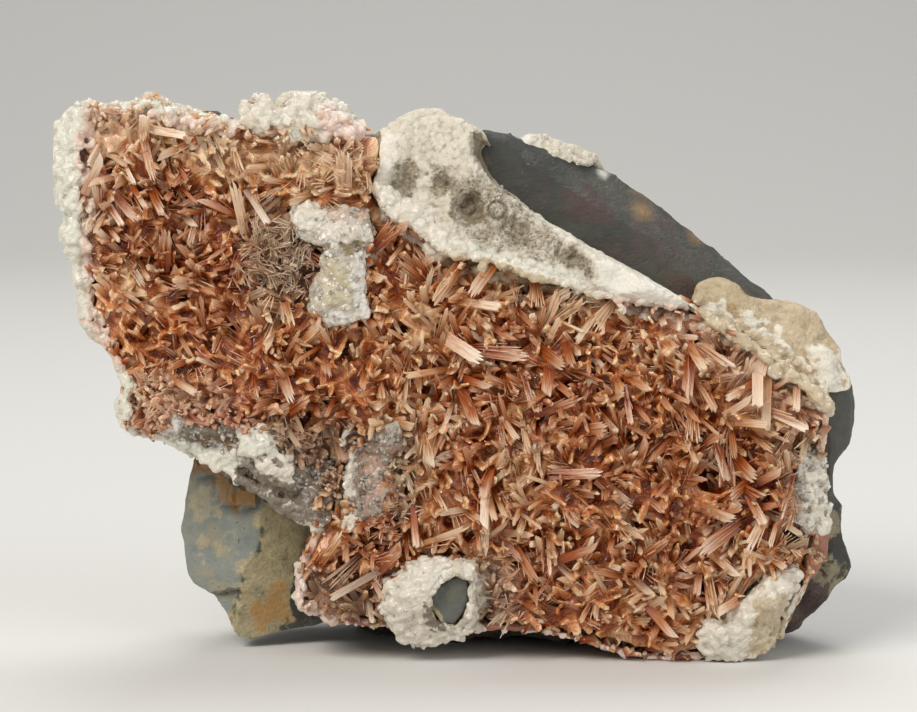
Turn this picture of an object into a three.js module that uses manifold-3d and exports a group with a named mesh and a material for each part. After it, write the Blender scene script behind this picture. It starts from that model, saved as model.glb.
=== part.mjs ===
// Inesite on matrix: a hand-sized mineral specimen, about 94 mm wide, 66 mm high and 42 mm deep.
//
// A block of dark manganese-bearing rock carries a layer of cream calcite, and in a shallow tray in the
// calcite grew a druse of salmon-coloured inesite blades. Quartz and calcite lumps stand among the blades.
// Everything is in millimetres, with +X to the right of the crystal face, +Y into the rock and +Z up. The
// last lines move the specimen so that the middle of its base is the origin.

import * as THREE from "three";
import Module from "manifold-3d";
import { ConvexGeometry } from "three/addons/geometries/ConvexGeometry.js";
import { ImprovedNoise } from "three/addons/math/ImprovedNoise.js";
import { mergeVertices } from "three/addons/utils/BufferGeometryUtils.js";

const wasm = await Module();
wasm.setup();

// ---------------------------------------------------------------- driving dimensions, in mm

const GAP = 0.3; // clearance between neighbouring pieces
const FACE = { start: 3.5, lean: 0.075 }; // depth of the crystal face at the base, and how it leans back
const TRAY = { start: 8.2, lean: 0.075 }; // depth of the tray's floor, parallel to the face
const ROCK = { start: 10.8, lean: 0.05 }; // depth of the break where the calcite meets the rock
const EDGE_ROLL = { width: 3.4, depth: 1.7 }; // the face curves back near its outline
const FAR = 60; // beyond the specimen on every side
const GRID = { mat: 3.6, calcite: 2.7, crust: 1.9, inclusion: 1.8, lump: 1.6 }; // facet sizes
const INCLUSION = { front: 2.2, bed: 4.4 }; // depths of the dark fragment's face and of the pocket behind it

const BLADES = {
  spacing: 7.6, // between the middles of two sprays
  perSpray: 3,
  spread: 1.4, // from a spray's middle to a blade's root
  root: 1.2, // sunk in the mat
  length: [4.4, 6.6],
  width: [1.3, 2.1],
  thickness: [0.6, 0.9],
  tilt: [0.6, 1.6], // sideways lean of a blade whose outward part is 1
  margin: 1, // kept clear round the mat's outline and the lumps
};

// Hollows of the crystal face, and swells, whose depth is negative.
const FACE_RELIEF = [
  { x: -27, z: 52, radius: 8, depth: 1.5 },
  { x: -14, z: 24, radius: 5.5, depth: 3.3 },
  { x: -33, z: 36, radius: 6, depth: 0.8 },
  { x: 14, z: 24, radius: 14, depth: -2.2 },
  { x: -1, z: 26, radius: 6, depth: -1.0 },
  { x: 33, z: 24, radius: 5, depth: 1.2 },
  { x: -5, z: 47, radius: 4, depth: 1.6 },
  { x: 11, z: 13, radius: 5, depth: 1.0 },
];

// Pits in the bare white headland of the calcite.
const HEADLAND_PITS = [
  { x: 3.2, z: 52.5, radius: 1.9, depth: 2.4 },
  { x: -5.6, z: 55.2, radius: 1.6, depth: 1.4 },
  { x: 7.2, z: 50, radius: 1.6, depth: 1.2 },
];

// Outlines as [x, z] corners, seen from the front.
const CALCITE_OUTLINE = [
  [-45.7, 62.2], [-44.6, 64.6], [-42, 65.5], [-38, 65], [-34, 65.7], [-31.5, 64.7], [-26.5, 63], [-24.5, 63.3],
  [-23.3, 65], [-22, 65.2], [-21, 64.3], [-18.5, 65.6], [-16.3, 65.8], [-14.8, 64.2], [-12, 63.2], [-11, 61.2],
  [-9.5, 61], [-7, 62.5], [-4.5, 63.7], [-1.5, 63.5], [0, 62.7], [4.5, 61.6], [3, 58.5], [4.5, 55.5],
  [9, 51.7], [15.5, 47.8], [22.5, 44.2], [27.5, 41.2], [32, 38.4], [37, 35], [41.5, 32], [43.5, 30], [43.5, 26],
  [42.5, 22], [43.8, 18], [43.5, 12], [40.5, 7], [37, 1.6], [31.5, 0.1], [25, 0], [21.5, 0], [17, 1.4],
  [11.5, 2.9], [5, 3.6], [-2, 3], [-8, 4], [-14, 4.3], [-18.5, 6.3], [-18.4, 10], [-17, 13], [-15.6, 15.4],
  [-20.5, 17.3], [-24, 20], [-29, 22.9], [-33.5, 25.3], [-37.7, 26.2], [-39, 29], [-38.2, 32], [-40.5, 36],
  [-43.3, 39.5], [-43.7, 44], [-44.5, 49], [-45.7, 54.5], [-46.4, 58],
];
const INESITE_OUTLINE = [
  [-41.5, 64], [-35, 63.6], [-29, 62.5], [-24.5, 61.5], [-17.5, 61], [-11.5, 60.5], [-8.7, 61], [-9, 57.5],
  [-10, 54.5], [-8, 51.5], [-4, 49], [-1.5, 47.2], [4, 46.3], [10, 44], [17, 42.2], [22.5, 41], [27, 40.3],
  [32, 37.4], [36, 34.4], [40, 31.6], [42.3, 29.5], [42, 26], [40.7, 22.5], [41.5, 14.5], [40, 9], [36.5, 4],
  [31, 1.2], [27.5, 1], [21.5, 1], [17, 2.5], [11.5, 4], [5.5, 4.8], [-1.5, 4.6], [-9, 5], [-14, 5.3],
  [-17.4, 7], [-17.2, 10], [-15.4, 14], [-14, 16.8], [-19, 19.4], [-23.5, 22.2], [-28, 24.2], [-33, 26.8],
  [-36.5, 27.5], [-37.6, 29.5], [-36.6, 32], [-38.8, 36], [-41.5, 40], [-41.7, 44], [-42.6, 50], [-43.4, 56],
  [-43, 61],
];
const PLATE_OUTLINE = [
  [-19, 52], [-17.5, 53], [-15.5, 52.2], [-12.5, 52.7], [-10, 52], [-9.4, 49.5], [-10.2, 46], [-10.3, 43],
  [-9.8, 40], [-12.5, 39.4], [-15, 39.2], [-16.7, 41], [-16.5, 43.5], [-15, 45.5], [-15.3, 48], [-18, 49.3],
];
const RING_OUTLINE = [
  [-9, 6.8], [-8, 9], [-6, 10.6], [-5.5, 12], [-3, 12.2], [0, 12.2], [2.5, 12], [5.4, 11], [5, 8.5], [4, 6],
  [2.5, 4.3], [1, 3], [-1.5, 2.3], [-4, 1.8], [-6, 2.7], [-7.7, 4.5],
];
const INCLUSION_OUTLINE = [
  [-2.6, 8.5], [-1, 9.6], [0.5, 10.4], [1.6, 10], [1.6, 7.5], [1, 6], [0, 4.8], [-1.5, 5], [-2.8, 6.8],
];
const PATCH_OUTLINE = [
  [28.3, 3.8], [29.7, 4.6], [31.4, 4], [32.5, 6.2], [34.5, 8], [36.3, 10], [38, 11], [40, 11.2], [39.6, 8.5],
  [38.2, 6], [37.3, 3.2], [36.4, 1.2], [34, 0.5], [31.5, 0], [29.5, 0.8], [28.3, 2],
];
const KNOB_OUTLINE = [
  [-12.7, 21], [-12, 23.5], [-10.8, 25.8], [-9, 27.3], [-6.5, 28.2], [-5.8, 25.5], [-6.6, 23], [-6, 20],
  [-6.8, 17.8], [-9, 16], [-11.4, 16], [-12.6, 18],
];
const LEDGE_OUTLINE = [
  [-36.8, 26.6], [-35, 28.3], [-33, 29.6], [-29.5, 29], [-25, 28], [-21.5, 27], [-19, 24.8], [-15.5, 24],
  [-13.6, 22.5], [-13.5, 18.8], [-14.8, 17.6], [-18, 18.2], [-22, 20.4], [-25.5, 22.8], [-29, 23.7],
  [-31.5, 24.7], [-34, 25.7],
];
const EDGE_OUTLINE = [
  [40, 23.5], [41, 25.2], [42.6, 23.6], [43.4, 21], [43.2, 18.6], [42.4, 16], [41, 14.4], [39.8, 16], [39.3, 19],
  [39.6, 21.3],
];
const TAN_OUTLINE = [
  [27.6, 41.3], [28.3, 43.2], [30.3, 44.2], [32.8, 43.4], [34.6, 41.8], [36.5, 41.3], [40.5, 40.7],
  [42.6, 39.6], [43.6, 37.7], [45, 36], [45.4, 34], [46.3, 32.4], [46.5, 31], [43.8, 30.8], [42.4, 31.2],
  [40.5, 33], [37, 35.4], [33.5, 38.1], [30.5, 39.9],
];

// Lumps that grew among the blades: how far each stands proud of the mat, and the size of its knobs.
const LUMPS = {
  quartz_plate: { outline: PLATE_OUTLINE, proud: 3.1, knobs: 2.6, colour: 0xc9bda6 },
  quartz_ring: { outline: RING_OUTLINE, proud: 3.0, knobs: 2.2, colour: 0xd6cfc4 },
  quartz_knob: { outline: KNOB_OUTLINE, proud: 2.3, knobs: 2.2, colour: 0xaaa59c },
  quartz_ledge: { outline: LEDGE_OUTLINE, proud: 1.6, knobs: 2.8, colour: 0xa8a39a },
  quartz_edge: { outline: EDGE_OUTLINE, proud: 1.6, knobs: 1.8, colour: 0xa39a90 },
  calcite_patch: { outline: PATCH_OUTLINE, proud: 2.4, knobs: 2.4, colour: 0xd8d2bd },
};

// Corners [x, y, z] of the flat-faced chips that make the rock.
const ROCK_CHIPS = {
  body: [
    [5.4, 17, 60.6], [10.8, 20, 58.2], [16.2, 21, 57.6], [22.2, 22, 54.1], [28.2, 22, 49], [34.4, 21, 43.1],
    [37.8, 19, 40.2], [2.8, 13.5, 60], [5.3, 13.4, 54.3], [12.4, 13.2, 49], [19.4, 13, 44.9], [27.6, 12.8, 40.5],
    [43, 13, 35.6], [45.4, 16, 34.2], [47.1, 14, 31.2], [47.5, 17, 28.6], [46.3, 20, 22], [46.8, 15, 14.5],
    [46.3, 16, 9.7], [44.2, 14, 5.4], [43.5, 11, 28], [43, 10, 10], [40.4, 10, 3.8], [40.6, 14, 1.2], [36, 12, 0],
    [37, 27, 0], [20, 34, 0], [-4, 35, 0], [-13, 28, 0], [-11, 20, 0], [10, 20, 0], [-13, 11, 5], [-3, 11, 4],
    [18, 10, 2], [42, 30, 22], [30, 36, 20], [4, 40, 22], [-14, 37, 16], [12, 37, 40], [26, 31, 40],
    [-6, 33, 47], [2, 22, 58], [-2, 13, 60],
  ],
  wing: [
    [-44, 12, 62.5], [-45, 12, 57], [-43, 12, 48], [-42, 11.6, 41], [-38.8, 11.2, 36], [-37.4, 11, 30],
    [-35, 11, 26.5], [-18, 11, 17], [-40, 12.4, 63.6], [-28, 12.4, 62], [-17, 12, 62.5], [-11, 12, 61],
    [-4, 12, 61.6], [-41, 19, 58], [-39.5, 20, 45], [-34, 22, 32], [-22, 27, 51], [-8, 33, 30], [-25, 27, 28],
    [2, 30, 50], [-31, 21, 60.4], [-12, 24, 58.4], [0, 20, 58], [0, 34, 30], [0, 11, 30],
  ],
  foot: [
    [-30.8, 15, 22.2], [-31.6, 14.6, 19.6], [-32.8, 14.6, 15.5], [-32.9, 14.3, 13], [-32.4, 14, 10.6],
    [-31.1, 13.3, 7.1], [-27, 12.9, 6.5], [-22.6, 11.8, 8], [-23, 12, 20], [-29, 28, 17], [-27, 27, 9],
    [-17, 32, 22],
  ],
  toe: [
    [-29.2, 14, 6.2], [-25.8, 13.2, 1.4], [-23.4, 12.8, 1.2], [-19.4, 12.4, 2.9], [-17.2, 11, 6],
    [-17.4, 11, 14.5], [-22, 11.8, 20.5], [-12, 11, 18], [-13, 14, 3], [-26, 26, 7], [-20, 28, 4], [-10, 32, 6],
    [-8, 32, 22], [-26, 22, 20],
  ],
  shard: [
    [-29.5, 12, 24.5], [-26.4, 11.6, 25], [-23.6, 11.4, 21.6], [-23.4, 11.4, 19], [-27, 11.8, 20.5],
    [-30, 12.2, 22], [-29, 18, 26], [-22, 18, 20], [-29, 18, 20],
  ],
};

// Corners of the calcite that caps the ridge and runs down the back of the rock.
const RIDGE_CAP = [
  [7.2, 17, 60.6], [8.6, 17.6, 61], [11.2, 18.8, 61], [14, 19.6, 60], [17, 20.6, 58.6], [15.6, 18.8, 57.6],
  [12, 17.6, 57.4], [8, 16.2, 59], [9, 24, 59.4], [15, 26, 56.5], [20, 26, 53.5], [11, 30, 52], [17, 30, 49],
];

// Corners of the wedges that broke off the hidden sides, each leaving a step with two or three faces.
const ROCK_STEPS = {
  upperRight: [
    [14, 30, 37], [60, 23, 32], [60, 60, 34], [17, 60, 39], [11, 28, 80], [60, 20, 80], [60, 60, 80], [12, 60, 80],
  ],
  upperLeft: [
    [-60, 25, 38], [-21, 25, 37], [-20, 60, 36], [-60, 60, 38], [-60, 23, 80], [-16, 24, 80], [-16, 60, 80],
    [-60, 60, 80],
  ],
  lowerRight: [
    [33, 25, -9], [60, 16, -9], [60, 60, -9], [31, 60, -9], [36, 28, 15], [60, 18, 13], [60, 60, 15], [34, 60, 17],
  ],
  lowerLeft: [
    [-60, 33, 2], [-6, 36, 3], [-6, 60, 3], [-60, 60, 2], [-60, 30, 20], [-9, 34, 24], [-9, 60, 24], [-60, 60, 20],
  ],
  rightEdge: [
    [45, 12, 23], [45.2, 24, 24], [44.6, 12, 18], [44.8, 24, 17], [60, 12, 26], [60, 24, 26], [60, 12, 15],
    [60, 24, 15],
  ],
};

// ---------------------------------------------------------------- small mathematics

const noise = new ImprovedNoise();
const clamp01 = (t) => Math.min(1, Math.max(0, t));
const smooth = (t) => clamp01(t) ** 2 * (3 - 2 * clamp01(t));
const mix = ([low, high], t) => low + (high - low) * t;
const fraction = (t) => t - Math.floor(t);

/** Repeatable random numbers from 0 to 1. */
function dice(seed) {
  let state = seed;
  return () => {
    state = (state * 1664525 + 1013904223) % 4294967296;
    return state / 4294967296;
  };
}

/** A repeatable number from -0.5 to 0.5 for a corner of a grid. */
const jitter = (i, j, kind) => fraction(Math.sin(i * 12.9898 + j * 78.233 + kind * 37.719) * 43758.5453) - 0.5;

/** Lumpiness between about -1 and 1, with knobs of the given size. */
const knobbly = (x, z, size, kind) => noise.noise(x / size, kind * 7.3 + 0.5, z / size) * 1.6;

/** Sum of round hollows at a place. */
function hollows(list, x, z) {
  return list.reduce((sum, h) => sum + h.depth * Math.exp(-((x - h.x) ** 2 + (z - h.z) ** 2) / h.radius ** 2), 0);
}

/** Distance from a place to an outline, positive inside it. */
function insideBy(outline, x, z) {
  let nearest = Infinity;
  let inside = false;
  outline.forEach(([ax, az], i) => {
    const [bx, bz] = outline[(i + 1) % outline.length];
    const along = clamp01(((x - ax) * (bx - ax) + (z - az) * (bz - az)) / ((bx - ax) ** 2 + (bz - az) ** 2));
    nearest = Math.min(nearest, Math.hypot(x - ax - along * (bx - ax), z - az - along * (bz - az)));
    if (az > z !== bz > z && x < ((bx - ax) * (z - az)) / (bz - az) + ax) inside = !inside;
  });
  return inside ? nearest : -nearest;
}

/** The outline with its corners moved out by a distance. */
function grown(outline, by) {
  const area = THREE.ShapeUtils.area(outline.map(([x, z]) => new THREE.Vector2(x, z)));
  return outline.map(([x, z], i) => {
    const [px, pz] = outline[(i + outline.length - 1) % outline.length];
    const [nx, nz] = outline[(i + 1) % outline.length];
    const out = (Math.sign(area) * by) / Math.hypot(nx - px, nz - pz);
    return [x + out * (nz - pz), z - out * (nx - px)];
  });
}

// ---------------------------------------------------------------- solids

/** A closed geometry as a solid that can be cut and joined. */
function solidOf(geometry) {
  const bare = geometry.clone();
  bare.deleteAttribute("normal");
  bare.deleteAttribute("uv");
  const merged = mergeVertices(bare, 1e-4);
  return new wasm.Manifold(
    new wasm.Mesh({
      numProp: 3,
      vertProperties: new Float32Array(merged.attributes.position.array),
      triVerts: new Uint32Array(merged.index.array),
    }),
  );
}

/** The outline as a solid, straight along Y between two depths. */
function prism(outline, near, far) {
  const shape = new THREE.Shape(outline.map(([x, z]) => new THREE.Vector2(x, z)));
  const geometry = new THREE.ExtrudeGeometry(shape, { depth: far - near, bevelEnabled: false });
  return solidOf(geometry.rotateX(Math.PI / 2).translate(0, far, 0));
}

/** A chip of rock: the flat-faced hull of its corners. */
const chip = (corners) => solidOf(new ConvexGeometry(corners.map((corner) => new THREE.Vector3(...corner))));

/** Everything that lies deeper than a leaning plane. */
function behind({ start, lean }, offset) {
  const depthAt = (z) => start + lean * z + offset;
  const corners = [-FAR, 2 * FAR].flatMap((z) => [[-FAR, depthAt(z), z], [FAR, depthAt(z), z]]);
  return chip([...corners, ...corners.map(([x, , z]) => [x, 2 * FAR, z])]);
}

/** A block with an outline, a front whose depth is given at every x and z, and a leaning plane for its back. */
function slab(outline, front, back, step) {
  const xs = outline.map((corner) => corner[0] / step);
  const zs = outline.map((corner) => corner[1] / step);
  const [left, low] = [Math.floor(Math.min(...xs)) - 1, Math.floor(Math.min(...zs)) - 1];
  const across = Math.ceil(Math.max(...xs)) + 1 - left;
  const up = Math.ceil(Math.max(...zs)) + 1 - low;
  const near = [];
  const distant = [];
  for (let j = 0; j <= up; j++)
    for (let i = 0; i <= across; i++) {
      const x = (left + i + 0.6 * jitter(i, j, 0)) * step;
      const z = (low + j + 0.6 * jitter(i, j, 1)) * step;
      near.push(x, front(x, z), z);
      distant.push(x, FAR, z);
    }
  const count = near.length / 3;
  const faces = [];
  const quad = (a, b, c, d) => faces.push(a, b, c, a, c, d);
  const at = (i, j) => j * (across + 1) + i;
  for (let j = 0; j < up; j++)
    for (let i = 0; i < across; i++) {
      const [a, b, c, d] = [at(i, j), at(i + 1, j), at(i + 1, j + 1), at(i, j + 1)];
      quad(a, b, c, d);
      quad(d + count, c + count, b + count, a + count);
    }
  const wall = (a, b) => quad(b, a, a + count, b + count);
  for (let i = 0; i < across; i++) {
    wall(at(i, 0), at(i + 1, 0));
    wall(at(i + 1, up), at(i, up));
  }
  for (let j = 0; j < up; j++) {
    wall(at(0, j + 1), at(0, j));
    wall(at(across, j), at(across, j + 1));
  }
  const block = new THREE.BufferGeometry()
    .setAttribute("position", new THREE.Float32BufferAttribute([...near, ...distant], 3))
    .setIndex(faces);
  return solidOf(block).intersect(prism(outline, -FAR, FAR)).subtract(behind(back, 0));
}

/** What is left of a solid when others are cut away, without the crumbs. */
function cut(solid, others) {
  const left = others.reduce((rest, other) => rest.subtract(other), solid);
  return left.decompose().reduce((a, b) => (a.volume() > b.volume() ? a : b));
}

/** The room that a solid takes with its clearance towards the front and the top. */
function roomOf(solid) {
  return [[0, -GAP, 0], [0, 0, GAP], [0, -GAP, GAP]].reduce((room, by) => room.add(solid.translate(by)), solid);
}

// ---------------------------------------------------------------- surfaces that the pieces share

/** How far a surface curves back near its outline. */
function edgeRoll(outline, x, z, scale = 1) {
  return scale * EDGE_ROLL.depth * (1 - smooth(insideBy(outline, x, z) / (scale * EDGE_ROLL.width))) ** 2;
}

/** Depth of the smooth face that the mat and the lumps follow. */
function faceDepth(x, z) {
  return FACE.start + FACE.lean * z + hollows(FACE_RELIEF, x, z) + edgeRoll(INESITE_OUTLINE, x, z);
}

const rockDepth = (z) => ROCK.start + ROCK.lean * z;

/** The tray that holds a piece with the given outline, open to the front. */
const tray = (outline) => prism(grown(outline, GAP), -FAR, FAR).subtract(behind(TRAY, GAP));

// ---------------------------------------------------------------- matrix rock

/** The dark rock: chips grown together, steps broken out of them, and one flat break under the calcite. */
function matrixRock() {
  const [body, ...others] = Object.values(ROCK_CHIPS).map(chip);
  const joined = others.reduce((rock, one) => rock.add(one), body);
  return cut(joined.intersect(behind(ROCK, GAP)), Object.values(ROCK_STEPS).map(chip));
}

// ---------------------------------------------------------------- calcite layer

/** Depth of the bare calcite round the tray, with the white headland that slopes back to the ridge. */
function calciteDepth(x, z) {
  const headland = smooth((x + 10) / 4) * smooth((z - 40) / 4);
  const rim = FACE.start + FACE.lean * z - 0.4 + edgeRoll(CALCITE_OUTLINE, x, z);
  const slope = 4.6 + 0.36 * (z - 46) - 0.06 * (x - 4) + edgeRoll(CALCITE_OUTLINE, x, z, 0.6);
  const lumpy = 0.7 * knobbly(x, z, 3.5, 0) + 0.35 * knobbly(x, z, 1.6, 2);
  return Math.min(mix([rim, slope], headland) + lumpy + hollows(HEADLAND_PITS, x, z), rockDepth(z) - 1);
}

/** The calcite layer with the tray for the druse and a seat for each lump. */
function calciteLayer() {
  const bare = slab(CALCITE_OUTLINE, calciteDepth, ROCK, GRID.calcite);
  const seats = Object.values(LUMPS).map((lump) => tray(lump.outline));
  return cut(bare, [tray(INESITE_OUTLINE), ...seats]);
}

// ---------------------------------------------------------------- lumps

/** A lump with a knobbly front, seated in the calcite. */
function lumpSolid({ outline, proud, knobs }) {
  const front = (x, z) =>
    faceDepth(x, z) - proud + edgeRoll(outline, x, z, 0.8) + 0.55 * knobbly(x, z, knobs, 3);
  return slab(outline, front, TRAY, GRID.lump);
}

/** The dark fragment of rock held by the ring. */
function rockInclusion() {
  const front = (x, z) => INCLUSION.front + 0.3 * knobbly(x, z, 2.5, 5);
  return slab(INCLUSION_OUTLINE, front, { start: INCLUSION.bed - GAP, lean: 0 }, GRID.inclusion);
}

/** The tan crust on the rock's shoulder: its front steepens down to a lower lip. */
function tanCrust() {
  const front = (x, z) => {
    const aboveLip = z + 0.72 * x - 62;
    return 8.4 + 0.5 * Math.max(0, aboveLip) + 0.5 * knobbly(x, z, 3, 4) + edgeRoll(TAN_OUTLINE, x, z, 0.6);
  };
  return slab(TAN_OUTLINE, front, { start: 18, lean: 0 }, GRID.crust);
}

// ---------------------------------------------------------------- inesite druse

/** A flat blade with a slanted chisel end. It stands along its own +Z, with its root at the origin. */
function blade(length, width, thickness, slant) {
  const [w, t] = [width / 2, thickness / 2];
  const low = length - slant * width;
  return new ConvexGeometry(
    [
      [-0.8 * w, -t, 0], [0.8 * w, -t, 0], [0.8 * w, t, 0], [-0.8 * w, t, 0],
      [-w, -t, low], [w, -0.7 * t, length], [w, 0.7 * t, length], [-w, t, low],
    ].map((corner) => new THREE.Vector3(...corner)),
  );
}

/** Whether a place on the mat is clear of its outline and of every lump. */
function onOpenMat(x, z) {
  if (insideBy(INESITE_OUTLINE, x, z) < BLADES.margin) return false;
  return Object.values(LUMPS).every((lump) => insideBy(lump.outline, x, z) < -BLADES.margin);
}

/** The blades, in sprays that fan out from their middles. */
function bladeSprays() {
  const random = dice(77);
  const up = new THREE.Vector3(0, 0, 1);
  const blades = [];
  for (let z = 4; z < 64; z += BLADES.spacing)
    for (let x = -42; x < 43; x += BLADES.spacing) {
      const middle = [x, z].map((place) => place + (random() - 0.5) * 0.8 * BLADES.spacing);
      const start = random() * 2 * Math.PI;
      for (let n = 0; n < BLADES.perSpray; n++) {
        const around = start + ((n + 0.5 * random()) * 2 * Math.PI) / BLADES.perSpray;
        const tilt = mix(BLADES.tilt, random());
        const size = [BLADES.length, BLADES.width, BLADES.thickness].map((range) => mix(range, random()));
        const slant = random();
        const rootX = middle[0] + BLADES.spread * Math.cos(around);
        const rootZ = middle[1] + BLADES.spread * Math.sin(around);
        const direction = new THREE.Vector3(tilt * Math.cos(around), -1, 0.1 + tilt * Math.sin(around)).normalize();
        const tip = direction.clone().multiplyScalar(size[0]);
        if (!onOpenMat(rootX, rootZ) || !onOpenMat(rootX + tip.x, rootZ + tip.z)) continue;
        const turn = new THREE.Quaternion()
          .setFromUnitVectors(up, direction)
          .multiply(new THREE.Quaternion().setFromAxisAngle(up, random() * Math.PI));
        const root = new THREE.Vector3(rootX, faceDepth(rootX, rootZ) + BLADES.root, rootZ);
        const place = new THREE.Matrix4().compose(root, turn, new THREE.Vector3(1, 1, 1));
        blades.push(solidOf(blade(size[0] + BLADES.root, size[1], size[2], slant).applyMatrix4(place)));
      }
    }
  return blades;
}

/** The mat and its blades in one solid, with a hole for each lump. */
function inesiteDruse() {
  const front = (x, z) => faceDepth(x, z) + 0.45 * knobbly(x, z, 3.1, 1);
  const mat = slab(INESITE_OUTLINE, front, TRAY, GRID.mat);
  const holes = Object.values(LUMPS).map((lump) => prism(grown(lump.outline, GAP), -FAR, FAR));
  return cut(bladeSprays().reduce((druse, one) => druse.add(one), mat), holes);
}

// ---------------------------------------------------------------- assembly

const specimen = new THREE.Group();

/** Adds a solid to the specimen as a named mesh with its own material. */
function piece(name, solid, colour, roughness) {
  const { numProp, numVert, vertProperties, triVerts } = solid.getMesh();
  const places = [];
  for (let i = 0; i < numVert; i++) places.push(...vertProperties.slice(i * numProp, i * numProp + 3));
  const geometry = new THREE.BufferGeometry()
    .setAttribute("position", new THREE.Float32BufferAttribute(places, 3))
    .setIndex([...triVerts]);
  const made = new THREE.Mesh(geometry, new THREE.MeshStandardMaterial({ color: colour, roughness, metalness: 0 }));
  made.name = name;
  specimen.add(made);
}

const rock = matrixRock();
const calciteRoom = prism(grown(CALCITE_OUTLINE, GAP), -FAR, FAR).subtract(behind(ROCK, GAP));
piece("matrix_rock", rock, 0x4a4b4c, 0.7);
piece("calcite_layer", calciteLayer(), 0xcfc8b6, 0.85);
piece("inesite_druse", inesiteDruse(), 0xc47a52, 0.45);

const taken = [prism(grown(INCLUSION_OUTLINE, GAP), -FAR, INCLUSION.bed)];
for (const [name, lump] of Object.entries(LUMPS)) {
  piece(name, cut(lumpSolid(lump), taken), lump.colour, 0.5);
  taken.push(prism(grown(lump.outline, GAP), -FAR, FAR));
}
piece("rock_inclusion", rockInclusion(), 0x55606a, 0.6);
piece("tan_crust", cut(tanCrust(), [roomOf(rock), calciteRoom]), 0xb9a582, 0.85);
piece("ridge_cap", cut(chip(RIDGE_CAP), [roomOf(rock)]), 0xcdc6b4, 0.85);

// The middle of the base becomes the origin.
const box = new THREE.Box3().setFromObject(specimen);
specimen.position.set(-(box.min.x + box.max.x) / 2, -(box.min.y + box.max.y) / 2, -box.min.z);

export default specimen;
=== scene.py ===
import math
import random

import bpy
import numpy as np
from mathutils import Matrix, Quaternion, Vector, noise
from mathutils.bvhtree import BVHTree


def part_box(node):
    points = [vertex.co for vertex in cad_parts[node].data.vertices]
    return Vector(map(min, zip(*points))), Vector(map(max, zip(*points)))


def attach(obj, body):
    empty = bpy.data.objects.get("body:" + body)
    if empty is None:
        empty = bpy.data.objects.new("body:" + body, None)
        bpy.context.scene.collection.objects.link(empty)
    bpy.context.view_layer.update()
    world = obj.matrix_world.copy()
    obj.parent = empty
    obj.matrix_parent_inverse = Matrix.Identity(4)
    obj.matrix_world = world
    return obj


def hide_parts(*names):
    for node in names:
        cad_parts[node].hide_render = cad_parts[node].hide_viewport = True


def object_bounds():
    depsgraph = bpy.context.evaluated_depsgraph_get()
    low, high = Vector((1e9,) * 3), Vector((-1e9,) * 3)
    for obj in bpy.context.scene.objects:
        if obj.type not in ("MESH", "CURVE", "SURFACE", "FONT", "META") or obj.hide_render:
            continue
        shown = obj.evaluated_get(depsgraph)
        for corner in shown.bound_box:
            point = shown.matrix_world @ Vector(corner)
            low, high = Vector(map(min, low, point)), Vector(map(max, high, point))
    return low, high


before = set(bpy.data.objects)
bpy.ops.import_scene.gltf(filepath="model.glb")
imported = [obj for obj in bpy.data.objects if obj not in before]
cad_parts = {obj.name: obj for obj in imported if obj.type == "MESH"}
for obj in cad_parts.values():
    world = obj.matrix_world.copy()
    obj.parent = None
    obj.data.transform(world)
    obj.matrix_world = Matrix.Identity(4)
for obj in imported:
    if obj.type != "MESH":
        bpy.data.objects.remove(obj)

mm = 0.001
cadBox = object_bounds()
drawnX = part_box("quartz_plate")[0].x + 19.0 * mm  # the solids were drawn about another origin, and places
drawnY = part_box("rock_inclusion")[1].y - 4.1 * mm  # below are given in that drawing's millimetres
print("frame: %d solids" % len(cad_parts))


def spot(x, y, z):
    return Vector((x * mm + drawnX, y * mm + drawnY, z * mm))


def only(piece):
    bpy.ops.object.select_all(action="DESELECT")
    piece.select_set(True)
    bpy.context.view_layer.objects.active = piece


def applyAll(piece):
    only(piece)
    for modifier in list(piece.modifiers):
        bpy.ops.object.modifier_apply(modifier=modifier.name)


def coordinates(mesh):
    points = np.empty(len(mesh.vertices) * 3)
    mesh.vertices.foreach_get("co", points)
    return points.reshape(-1, 3)


# camera, light and floor

camera = dict(aim=spot(0.5, 0, 36.1), distance=0.38, elevation=math.radians(6), lens=131.3)

bpy.ops.object.camera_add()
view = bpy.context.object
view.name = "camera"
view.data.lens = camera["lens"]
view.data.clip_start = 0.01
back = Vector((0, -math.cos(camera["elevation"]), math.sin(camera["elevation"])))
view.location = camera["aim"] + back * camera["distance"]
view.rotation_euler = (-back).to_track_quat("-Z", "Y").to_euler()
bpy.context.scene.camera = view
bpy.context.scene.view_settings.view_transform = "Standard"

lamps = {
    "keyLamp": dict(at=(-0.42, -0.55, 0.62), size=0.45, power=6.5, tone=(1.0, 0.97, 0.93)),
    "fillLamp": dict(at=(0.60, -0.50, 0.30), size=0.60, power=2.6, tone=(0.94, 0.97, 1.0)),
    "topLamp": dict(at=(0.10, 0.35, 0.70), size=0.50, power=3.2, tone=(1.0, 1.0, 1.0)),
}
for name, lamp in lamps.items():
    bpy.ops.object.light_add(type="AREA", location=lamp["at"])
    light = bpy.context.object
    light.name = name
    light.data.size = lamp["size"]
    light.data.energy = lamp["power"]
    light.data.color = lamp["tone"]
    light.rotation_euler = (Vector((0, 0, 0.03)) - Vector(lamp["at"])).to_track_quat("-Z", "Y").to_euler()

world = bpy.data.worlds.new("softRoom")
world.use_nodes = True
world.node_tree.nodes["Background"].inputs["Color"].default_value = (0.86, 0.89, 0.93, 1)
world.node_tree.nodes["Background"].inputs["Strength"].default_value = 0.3
bpy.context.scene.world = world

sweep = dict(width=6.0, front=-2.0, back=1.1, height=3.0, bend=0.5)  # metres: a card that curves up behind


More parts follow.
